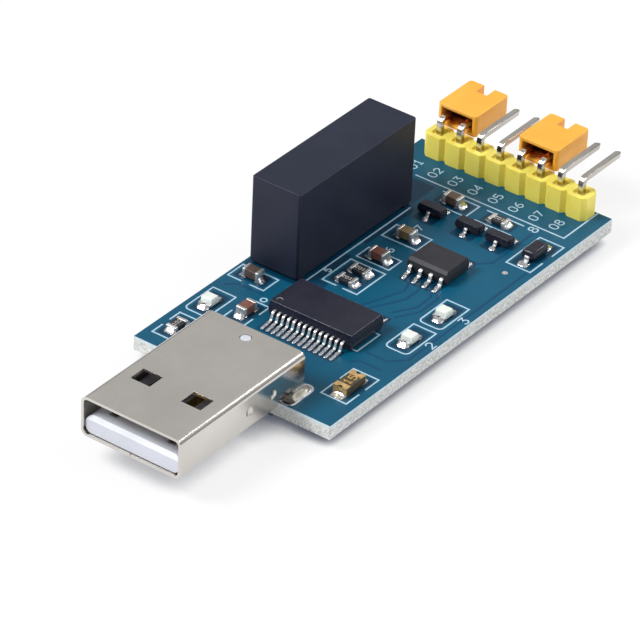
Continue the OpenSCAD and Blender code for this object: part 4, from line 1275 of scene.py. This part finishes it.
@dataclass(frozen=True)
class BlockKind:
    """Sizes and finishes of a kind of two-ended part, in millimetres."""

    length: float
    width: float
    height: float
    end: float
    soft: float
    rise: float
    run: float = 0.5
    film: float = 0.08


class Blocks(Enum):
    """The kinds of two-ended part on the board."""

    CAPACITOR = BlockKind(2.0, 1.25, 1.0, 0.42, 0.12, 0.75)
    RESISTOR = BlockKind(2.0, 1.25, 0.5, 0.4, 0.07, 0.5)


@dataclass
class TwoEndedPart:
    """A capacitor or resistor with its wrapped ends and solder."""

    shop: Workshop
    name: str
    kind: BlockKind
    place: Point2
    turn: float
    finish: Finish
    slot: str
    end_finish: Finish = Finishes.terminal
    end_slot: str = "end_cap"
    code: str = ""
    code_finish: Finish = Finishes.resistor_code

    def build(self) -> None:
        """Builds the part's body, ends, solder and any code on top."""
        k = self.kind
        inset = 0.04
        seed = self.place[0] * 3.7 + self.place[1]
        body = Form()
        body.block((0, 0, k.film + k.height / 2), (k.length - 0.3, k.width - 2 * inset, k.height - 2 * inset),
                   k.soft * 0.6)
        self.shop.piece(f"{self.name}_core", body.turned(self.place, self.turn), self.finish, self.slot,
                        [f"{self.name}_body"])
        ends = Form()
        for side in (-1, 1):
            ends.block((side * (k.length - k.end) / 2, 0, k.film + k.height / 2), (k.end, k.width, k.height), k.soft)
        ends.ruffled(0.8, 0.02, seed).turned(self.place, self.turn)
        self.shop.piece(f"{self.name}_caps", ends, self.end_finish, self.end_slot, [f"{self.name}_ends"])
        solder = Form()
        half = k.width / 2 + 0.04
        for side in (-1, 1):
            runs = ((-k.end - 0.05, half * 0.9, 0.05), (-k.end * 0.9, half, k.film + 0.06),
                    (-k.end * 0.2, half * 1.02, k.film + 0.12), (0.0, half * 1.02, k.rise * 0.85),
                    (k.run * 0.2, half, k.rise * 0.62), (k.run * 0.45, half * 0.97, k.rise * 0.35),
                    (k.run * 0.75, half * 0.88, k.rise * 0.18), (k.run, half * 0.66, 0.05))
            solder.mound((side * k.length / 2, 0, 0), (side, 0), runs, 13)
        solder.ruffled(0.6, 0.05, seed).turned(self.place, self.turn)
        self.shop.piece(f"{self.name}_joints", solder, Finishes.solder, "solder", ["surface_solder"])
        if self.code:
            top = k.film + k.height - inset
            ink = Form()
            height = 0.4
            width = (1.05 * (len(self.code) - 1) + 0.7) * height
            StrokeDigits.write(ink, self.code, (-width / 2, -height / 2), height, 0.065, top - 0.01, top + 0.012)
            ink.turned(self.place, self.turn)
            self.shop.piece(f"{self.name}_code", ink, self.code_finish, self.slot)


@dataclass
class Lamp:
    """A small lamp: notched base, metal ends, milky lens and solder."""

    shop: Workshop
    name: str
    place: Point2
    length: float = 2.0
    width: float = 1.4
    base: float = 0.3
    height: float = 0.8
    film: float = 0.08
    notch: float = 0.26

    def notched(self, start: float, stop: float, inset: float) -> list[Point2]:
        """Gives the plan of a plate from start to stop, with a half-round notch in an outer end."""
        half = self.width / 2 - inset
        sign = 1 if stop > start else -1
        bite = arc((stop, 0), self.notch, -90, -270, 8) if sign > 0 else arc((stop, 0), self.notch, 90, -90, 8)
        outline = [(start, -half * sign), (stop, -half * sign)] + bite + [(stop, half * sign), (start, half * sign)]
        return outline

    def build(self) -> None:
        """Builds the lamp's pieces."""
        half = self.length / 2
        low, top = self.film, self.film + self.base
        base = Form()
        ends = Form()
        for side in (-1, 1):
            base.prism(self.notched(0, side * (half - 0.02), 0.03), low + 0.03, top - 0.03)
            ends.prism(self.notched(side * (half - 0.36), side * half, 0.0), low, top)
        self.shop.piece(f"{self.name}_plate", base.turned(self.place, 0), Finishes.lamp_base, "lamp_base",
                        [f"{self.name}_base"])
        self.shop.piece(f"{self.name}_terminals", ends.turned(self.place, 0), Finishes.terminal, "end_cap",
                        [f"{self.name}_ends"])
        lens = Form()
        half_w = self.width / 2 - 0.01
        high = self.film + self.height
        rings = [rounded_box((-x, -y), (x, y), (r, r, r, r), 3) for x, y, r in (
            (0.6, half_w, 0.03), (0.56, half_w - 0.04, 0.05), (0.53, half_w - 0.07, 0.08), (0.47, half_w - 0.13, 0.1))]
        levels = (top - 0.02, high - 0.08, high - 0.02, high)
        lens.skin([[(x, y, z) for x, y in ring] for ring, z in zip(rings, levels)])
        self.shop.piece(f"{self.name}_dome", lens.turned(self.place, 0), Finishes.lamp_lens, "lamp_lens",
                        [f"{self.name}_lens"])
        solder = Form()
        for side in (-1, 1):
            runs = ((-0.35, 0.6, 0.06), (-0.1, 0.68, 0.12), (0.0, 0.7, 0.36), (0.14, 0.69, 0.3), (0.3, 0.64, 0.2),
                    (0.46, 0.54, 0.1), (0.56, 0.38, 0.03))
            solder.mound((side * half, 0, 0), (side, 0), runs, 13)
        solder.ruffled(0.6, 0.06, self.place[0]).turned(self.place, 0)
        self.shop.piece(f"{self.name}_joints", solder, Finishes.solder, "solder", ["surface_solder"])


@dataclass
class Fuse:
    """The fuse: laminated body with round notches in its ends and gold plates over and under them."""

    shop: Workshop
    place: Point2
    length: float = 3.2
    width: float = 1.6
    height: float = 0.9
    plate: float = 0.75
    notch: float = 0.3
    film: float = 0.08

    def plan(self, inner: float, inset: float, notch: float) -> list[Point2]:
        """Gives the plan of one end, from a line across the part to its notched end face."""
        end, half = self.length / 2 - inset, self.width / 2
        bite = arc((end, 0), notch, -90, -270, 10)
        return [(inner, -half), (end, -half), *bite, (end, half), (inner, half)]

    def build(self) -> None:
        """Builds the fuse's body, plates, mark and solder."""
        low, high, skin = self.film, self.film + self.height, 0.04
        body, plates, solder = Form(), Form(), Form()
        start = self.length / 2 - self.plate
        for sign in (1, -1):
            for form, outline, bottom, top in (
                (body, self.plan(0.0, skin, self.notch + skin), low + skin, high - skin),
                (plates, self.plan(start, 0.0, self.notch), high - skin, high + 0.01),
                (plates, self.plan(start, 0.0, self.notch), low, low + skin),
                (plates, self.plan(self.length / 2 - skin - 0.06, 0.0, self.notch), low, high - 0.02),
            ):
                form.prism([(sign * x, sign * y) for x, y in outline], bottom, top)
            half = self.width / 2
            runs = ((-0.4, half * 0.9, 0.05), (-0.05, half * 1.02, 0.12), (0.02, half * 1.02, 0.36),
                    (0.1, half, 0.24), (0.22, half, 0.17), (0.42, half * 0.97, 0.13), (0.6, half * 0.9, 0.09),
                    (0.7, half * 0.7, 0.03))
            solder.mound((sign * self.length / 2, 0, 0), (sign, 0), runs, 13, 0.5)
        self.shop.piece("fuse_core", body.turned(self.place, 0), Finishes.fuse, "fuse_body", ["fuse_body"])
        plates.ruffled(0.7, 0.012)
        self.shop.piece("fuse_plates", plates.turned(self.place, 0), Finishes.fuse_end, "fuse_end", ["fuse_ends"])
        solder.ruffled(0.6, 0.06, 2.0)
        self.shop.piece("fuse_joints", solder.turned(self.place, 0), Finishes.solder, "solder", ["surface_solder"])
        mark = Form()
        StrokeDigits.write(mark, "15", (-0.62, -0.42), 0.8, 0.12, high - skin, high - skin + 0.02)
        self.shop.piece("fuse_mark", mark.turned(self.place, 0), Finishes.fuse_mark, "fuse_body")


@dataclass
class PinHeader:
    """The right-angle header: yellow strip, eight bent pins and two jumper caps."""

    shop: Workshop
    count: int = 8
    pitch: float = 2.54
    pin: float = 0.64
    row_x: float = 46.7
    level: float = 4.1
    bend: float = 0.66
    tip_x: float = 53.5
    tail: float = -2.8
    strip_width: float = 2.5
    strip_height: float = 2.7
    notch: float = 0.45

    @property
    def first_y(self) -> float:
        """Place of the pin with the lowest y."""
        return -(self.count - 1) / 2 * self.pitch

    def build(self) -> None:
        """Builds the header's pieces."""
        self.build_strip()
        self.build_pins()
        for k in (1, 2):
            self.shop.copy(f"jumper_cap_{k}", f"jumper_cap_{k}_moulding", Finishes.cap, "jumper_plastic", 0.16, 3)
            self.shop.cad(f"jumper_clip_{k}", Finishes.clip)

    def build_strip(self) -> None:
        """Builds the strip as a row of eight-sided blocks."""
        half, step, cut = self.strip_width / 2, self.pitch / 2, self.notch
        plan = [(-half, -step + cut), (-half + cut, -step), (half - cut, -step), (half, -step + cut),
                (half, step - cut), (half - cut, step), (-half + cut, step), (-half, step - cut)]
        unit = Form()
        unit.prism([(self.row_x + x, self.first_y + y) for x, y in plan], 0, self.strip_height)
        unit.softened(0.12, 2)
        unit.bm.faces.ensure_lookup_table()
        top = max(unit.bm.faces, key=lambda face: (face.calc_center_median().z, face.calc_area()))
        bmesh.ops.inset_region(unit.bm, faces=[top], thickness=0.62)
        bmesh.ops.inset_region(unit.bm, faces=[top], thickness=0.08, depth=-0.28)
        self.shop.row("header_blocks", unit, Finishes.strip, "header_plastic", self.count, (0, self.pitch, 0),
                      ["header_strip"])

    def build_pins(self) -> None:
        """Builds the row of bent pins."""
        line = bent_line([(self.row_x, self.tail), (self.row_x, self.level), (self.tip_x, self.level)], self.bend, 8)
        half = self.pin / 2
        soft = 0.06
        rings = []
        for k, (x, z) in enumerate(line):
            before, after = line[max(k - 1, 0)], line[min(k + 1, len(line) - 1)]
            along = Vector((after[0] - before[0], after[1] - before[1])).normalized()
            across = Vector((-along.y, along.x))
            ends = [(0, 0.4), (0.5, 1.0)] if k == 0 else [(-0.5, 1.0), (0, 0.4)] if k == len(line) - 1 else [(0, 1.0)]
            for shift, share in ends:
                here = Vector((x, z)) + along * shift
                ring = []
                for side, lift in ((-1, -1), (1, -1), (1, 1), (-1, 1)):
                    corner = [(side * (half * share - soft * share), lift * half * share),
                              (side * half * share, lift * (half * share - soft * share))]
                    if side * lift > 0:
                        corner.reverse()
                    for y, up in corner:
                        point = here + across * up
                        ring.append((point.x, self.first_y + y, point.y))
                rings.append(ring)
        unit = Form()
        unit.skin(rings)
        self.shop.row("header_pin_row", unit, Finishes.pin, "header_pin", self.count, (0, self.pitch, 0),
                      ["header_pins"], smooth=30)


@dataclass
class ThroughJoints:
    """Solder of the leads that go through the board."""

    shop: Workshop
    board: float = 1.6
    height: float = 0.7

    def cone(self, form: Form, place: Point2, hole: float, seed: float) -> None:
        """Adds one filled hole with its hollow cone below the board."""
        low = -self.board
        steps = 6
        spread = [(hole * (0.75 + 1.15 * (1 - math.cos(math.radians(90 * k / steps)))),
                   low - self.height * (1 - math.sin(math.radians(90 * k / steps)))) for k in range(1, steps + 1)]
        profile = [(0, low - self.height), (hole * 0.7, low - self.height), *spread, (hole - 0.02, low),
                   (hole - 0.02, -0.02), (0, -0.02)]
        form.lathe(profile, place)

    def build(self) -> None:
        """Builds the joints of the header, converter, contacts and legs."""
        unit = Form()
        first = -3.5 * 2.54
        self.cone(unit, (46.7, first), 0.5, 0)
        self.shop.row("header_joints", unit, Finishes.solder, "solder", 8, (0, 2.54, 0), ["through_solder"])
        others = Form()
        low, high = BOARD.box("converter_pins")
        middle = (low.y + high.y) / 2
        for x in (low.x + 0.25, low.x + 0.25 + 2.54, low.x + 0.25 + 3 * 2.54, high.x - 0.25):
            self.cone(others, (x, middle), 0.45, x)
        for k in range(1, 5):
            low, high = BOARD.box(f"usb_contact_{k}")
            self.cone(others, (high.x - 0.125, (low.y + high.y) / 2), 0.5, k)
        self.shop.piece("small_joints", others.ruffled(1.0, 0.03), Finishes.solder, "solder", ["through_solder"])
        legs = Form()
        for side, y in ((-1, -6.35), (1, 5.35)):
            self.leg(legs, side, y)
        self.shop.piece("leg_joints", legs.ruffled(0.8, 0.06, 3.0), Finishes.bank, "solder", ["through_solder"],
                        smooth=60)
        rims = Form()
        course = ((1.2, 0.62, -0.02), (1.5, 0.7, 0.03), (2.1, 0.74, 0.05), (2.8, 0.7, 0.05), (3.4, 0.64, 0.05),
                  (3.8, 0.48, 0.05), (4.03, 0.2, 0.04), (4.06, -0.15, 0.02), (3.9, -0.45, -0.03))
        radii = (0.05, 0.1, 0.14, 0.12, 0.14, 0.14, 0.12, 0.1, 0.05)
        for side, y in ((-1, -6.35), (1, 5.35)):
            rims.tube([(x, y + side * across, z) for x, across, z in course], radii)
        self.shop.piece("leg_rims", rims.ruffled(0.5, 0.06, 5.0), Finishes.solder, "solder", smooth=60)

    def leg(self, form: Form, side: int, y: float) -> None:
        """Adds the solder of one plug leg: a bank that climbs the leg and a bank below the board."""
        profile = ((-0.96, 0.0, 0.02), (-0.5, 0.0, 0.08), (-0.2, 0.5, 0.0), (0.2, 0.5, 0.02), (0.3, 0.4, 0.02),
                   (0.45, 0.22, 0.02), (0.6, 0.06, 0.0), (0.72, 0.0, -0.05), (0.95, 0.0, -0.05),
                   (0.95, 0.0, -0.5), (-0.96, 0.0, -0.5))
        stations = ((1.16, 0.3), (1.22, 0.75), (1.45, 1.0), (1.8, 1.05), (2.3, 0.95), (2.8, 0.9), (3.05, 0.7),
                    (3.2, 0.45), (3.45, 0.25), (3.7, 0.12), (3.95, 0.05), (4.08, 0.0), (4.17, 0.0))
        rings = []
        for x, climb in stations:
            half = 0.74 * math.sqrt(max(0.04, 1 - max(0.0, (x - 3.45) / 0.76) ** 2))
            rings.append([(x, y + side * across * half, rise * climb + base) for across, rise, base in profile])
        form.skin(rings)
        low = -self.board
        plan = rounded_box((1.3, y - 0.75), (3.5, y + 0.75), (0.4, 0.4, 0.4, 0.4), 4)
        centre = Vector((2.4, y))
        form.skin([[(*(centre + (Vector(p) - centre) * share), z) for p in plan] for share, z in (
            (0.5, low - 0.7), (0.75, low - 0.6), (0.95, low - 0.35), (1.25, low - 0.1), (1.4, low), (0.9, low + 0.05))])


# ---------------------------------------------------------------- scene


@dataclass
class Studio:
    """Camera, lamps, world and floor."""

    camera_place: Point3 = (-324.5, -241.4, 278.7)
    azimuth: float = -54.536
    elevation: float = 33.847
    roll: float = 2.619
    focal: float = 5078.966
    image: float = 640.0
    sensor: float = 36.0

    def build(self) -> None:
        """Builds the whole studio."""
        self.build_camera()
        self.build_world()
        self.build_floor()
        self.lamp("key_lamp", (-0.33, 0.29, 0.49), 0.24, 3.6)
        self.lamp("fill_lamp", (0.1, -0.6, 0.4), 0.3, 0.8)
        self.lamp("rim_lamp", (0.52, -0.22, 0.38), 0.16, 1.0)

    def build_camera(self) -> None:
        """Sets the camera at the photograph's viewing angle."""
        az, el, roll = (math.radians(v) for v in (self.azimuth, self.elevation, self.roll))
        back = Vector((math.sin(az) * math.cos(el), -math.cos(az) * math.cos(el), math.sin(el)))
        right = Vector((0, 0, 1)).cross(back).normalized()
        up = back.cross(right)
        turned_right = right * math.cos(roll) + up * math.sin(roll)
        turned_up = up * math.cos(roll) - right * math.sin(roll)
        data = bpy.data.cameras.new("camera")
        data.sensor_width = self.sensor
        data.lens = self.focal / self.image * self.sensor
        data.clip_start, data.clip_end = 0.01, 20
        camera = bpy.data.objects.new("camera", data)
        bpy.context.scene.collection.objects.link(camera)
        turn = Matrix((turned_right, turned_up, back)).transposed().to_4x4()
        camera.matrix_world = Matrix.Translation(BOARD.to_module @ Vector(self.camera_place)) @ turn
        bpy.context.scene.camera = camera

    def build_world(self) -> None:
        """Gives a white backdrop to the camera and to reflections, and a softer sky to the rest."""
        world = bpy.data.worlds.new("studio")
        world.use_nodes = True
        world.node_tree.nodes.clear()
        graph = Graph(world.node_tree)
        paths = graph.node("ShaderNodeLightPath").outputs
        heading = graph.node("ShaderNodeTexCoord").outputs["Generated"]
        lift = graph.node("ShaderNodeSeparateXYZ", {0: heading}).outputs["Z"]
        mirrored = graph.spread(lift, 0.22, 0.42, 0.3, 0.62)
        soft = graph.node("ShaderNodeMix", {0: paths["Is Glossy Ray"], 2: 0.42, 3: mirrored}).outputs[0]
        strength = graph.node("ShaderNodeMix", {0: self.seen(graph, paths), 2: soft, 3: 1.0}).outputs[0]
        shade = graph.node("ShaderNodeBackground", {"Color": (1, 1, 1, 1), "Strength": strength})
        graph.node("ShaderNodeOutputWorld", {"Surface": shade.outputs[0]})
        bpy.context.scene.world = world

    @staticmethod
    def seen(graph: Graph, paths: dict) -> bpy.types.NodeSocket:
        """Tells the rays that come straight from the camera or through clear plastic."""
        return graph.math("MAXIMUM", paths["Is Camera Ray"], paths["Is Transmission Ray"])

    def build_floor(self) -> None:
        """Lays the pale floor that the module rests on; its white glow is darkened and tinted blue near the module by
        ambient occlusion, a painted contact shadow.
        """
        mesh = bpy.data.meshes.new("floor")
        half = 3.0
        mesh.from_pydata([(-half, -half, 0), (half, -half, 0), (half, half, 0), (-half, half, 0)], [], [(0, 1, 2, 3)])
        floor = bpy.data.objects.new("floor", mesh)
        bpy.context.scene.collection.objects.link(floor)
        material = bpy.data.materials.new("floor_white_with_painted_contact_shadow")
        material.use_nodes = True
        material.node_tree.nodes.clear()
        graph = Graph(material.node_tree)
        paths = graph.node("ShaderNodeLightPath").outputs
        paper = graph.node("ShaderNodeBsdfDiffuse", {"Color": (0.9, 0.9, 0.94, 1)})
        # Painted contact shadow: the emitted white turns dark blue-grey where ambient occlusion finds the module close
        # by.
        open_sky = graph.node("ShaderNodeAmbientOcclusion", {"Distance": 0.0045}).outputs["AO"]
        lit = graph.spread(open_sky, 0.2, 0.62)
        white = graph.node("ShaderNodeEmission", {"Color": graph.blend(lit, (0.08, 0.09, 0.13, 1), (1, 1, 1, 1))})
        mirrored = graph.math("MULTIPLY", paths["Is Glossy Ray"], 0.86)
        seen = graph.math("MAXIMUM", self.seen(graph, paths), mirrored)
        share = graph.math("MULTIPLY", seen, 0.8)
        mixed = graph.node("ShaderNodeMixShader", {0: share, 1: paper.outputs[0], 2: white.outputs[0]})
        graph.node("ShaderNodeOutputMaterial", {"Surface": mixed.outputs[0]})
        mesh.materials.append(material)

    @staticmethod
    def lamp(name: str, place: Point3, size: float, power: float) -> None:
        """Adds one square soft lamp that faces the module.

        Args:
            name: Its name.
            place: Its place in the module's frame, in metres.
            size: Length of its side in metres.
            power: Its power in watts.
        """
        data = bpy.data.lights.new(name, "AREA")
        data.size = size
        data.energy = power
        lamp = bpy.data.objects.new(name, data)
        lamp.location = place
        lamp.rotation_mode = "QUATERNION"
        lamp.rotation_quaternion = Vector(place).to_track_quat("Z", "Y")
        bpy.context.scene.collection.objects.link(lamp)


def small_parts(shop: Workshop) -> Iterable["TwoEndedPart | Lamp | Fuse"]:
    """Lists the two-ended parts and lamps by their place on the board.

    Args:
        shop: The workshop that builds them.

    Returns:
        The parts, ready to be built.
    """
    capacitor, resistor = Blocks.CAPACITOR.value, Blocks.RESISTOR.value
    capacitors = (
        ((10.35, 6.1), 0, Finishes.capacitor_red, "capacitor_red"),
        ((15.8, 9.4), 90, Finishes.capacitor_dark, "capacitor_dark"),
        ((26.6, 1.8), 90, Finishes.capacitor_red, "capacitor_red"),
        ((31.55, 1.95), 90, Finishes.capacitor_olive, "capacitor_olive"),
        ((39.85, 2.1), 90, Finishes.capacitor_brown, "capacitor_brown"),
    )
    for k, (place, turn, finish, slot) in enumerate(capacitors, 1):
        yield TwoEndedPart(shop, f"capacitor_{k}", capacitor, place, turn, finish, slot)
    resistors = (((3.95, 9.75), 0, "102"), ((21.15, 1.75), 90, "102"), ((23.35, 1.75), 90, "102"),
                 ((39.9, -3.6), 90, "102"))
    for k, (place, turn, code) in enumerate(resistors, 1):
        yield TwoEndedPart(shop, f"resistor_{k}", resistor, place, turn, Finishes.resistor, "resistor_body",
                           code=code)
    yield Fuse(shop, (6.4, -9.5))
    for name, place in (("power_lamp", (9.35, 9.9)), ("transmit_lamp", (16.75, -9.2)),
                        ("receive_lamp", (22.5, -9.2))):
        yield Lamp(shop, name, place)


def leaded_chips(shop: Workshop) -> Iterable[LeadedChip]:
    """Lists the chips, transistors and diode by their place on the board.

    Args:
        shop: The workshop that builds them.

    Returns:
        The chips, ready to be built.
    """
    bridge_row = tuple((k - 6.5) * 0.65 for k in range(14))
    isolator_row = tuple((k - 1.5) * 1.27 for k in range(4))
    yield LeadedChip(shop, "bridge_chip", "bridge_chip_body", "bridge_chip_leads", (13.9, -1.0), 2.65, 3.9,
                     LeadShape(0.3, 0.17, 0.62, 0.15 + 1.75 * 0.48), (bridge_row, bridge_row), 1.05)
    yield LeadedChip(shop, "isolator_chip", "isolator_chip_body", "isolator_chip_leads", (28.65, -4.0), 1.95, 3.0,
                     LeadShape(0.42, 0.22, 0.7, 0.15 + 1.5 * 0.48), (isolator_row, isolator_row), 0.5,
                     finish=Finishes.isolator)
    transistor = LeadShape(0.42, 0.12, 0.35, 0.08 + 0.48)
    for k, place in enumerate(((36.85, 2.6), (36.85, -2.1), (36.85, -5.8)), 1):
        yield LeadedChip(shop, f"transistor_{k}", f"transistor_{k}_body", f"transistor_{k}_leads", place, 0.65,
                         1.25, transistor, ((0.0,), (-0.95, 0.95)), 0.42, 0.04, 1.0, 0.36, Finishes.small_mould)
    yield LeadedChip(shop, "diode", "diode_body", "diode_leads", (37.25, -9.85), 1.35, 1.9,
                     LeadShape(0.6, 0.12, 0.4, 0.08 + 1.1 * 0.48), ((0.0,), (0.0,)), 0.65, 0.2, 1.0, 0.62,
                     Finishes.small_mould)


def main() -> None:
    """Builds the module's looks and the studio round it."""
    logging.basicConfig(level=logging.INFO, format="%(name)s %(message)s")
    bpy.context.scene.view_settings.view_transform = "Standard"
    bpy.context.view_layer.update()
    studio = Studio()
    studio.build()
    shop = Workshop()
    CircuitBoard(shop).build()
    UsbPlug(shop).build()
    Converter(shop).build()
    for chip in leaded_chips(shop):
        chip.build()
    for part in small_parts(shop):
        part.build()
    PinHeader(shop).build()
    ThroughJoints(shop).build()
    LOG.info("%d pieces dressed", shop.count)


if __name__ == "__main__":
    main()
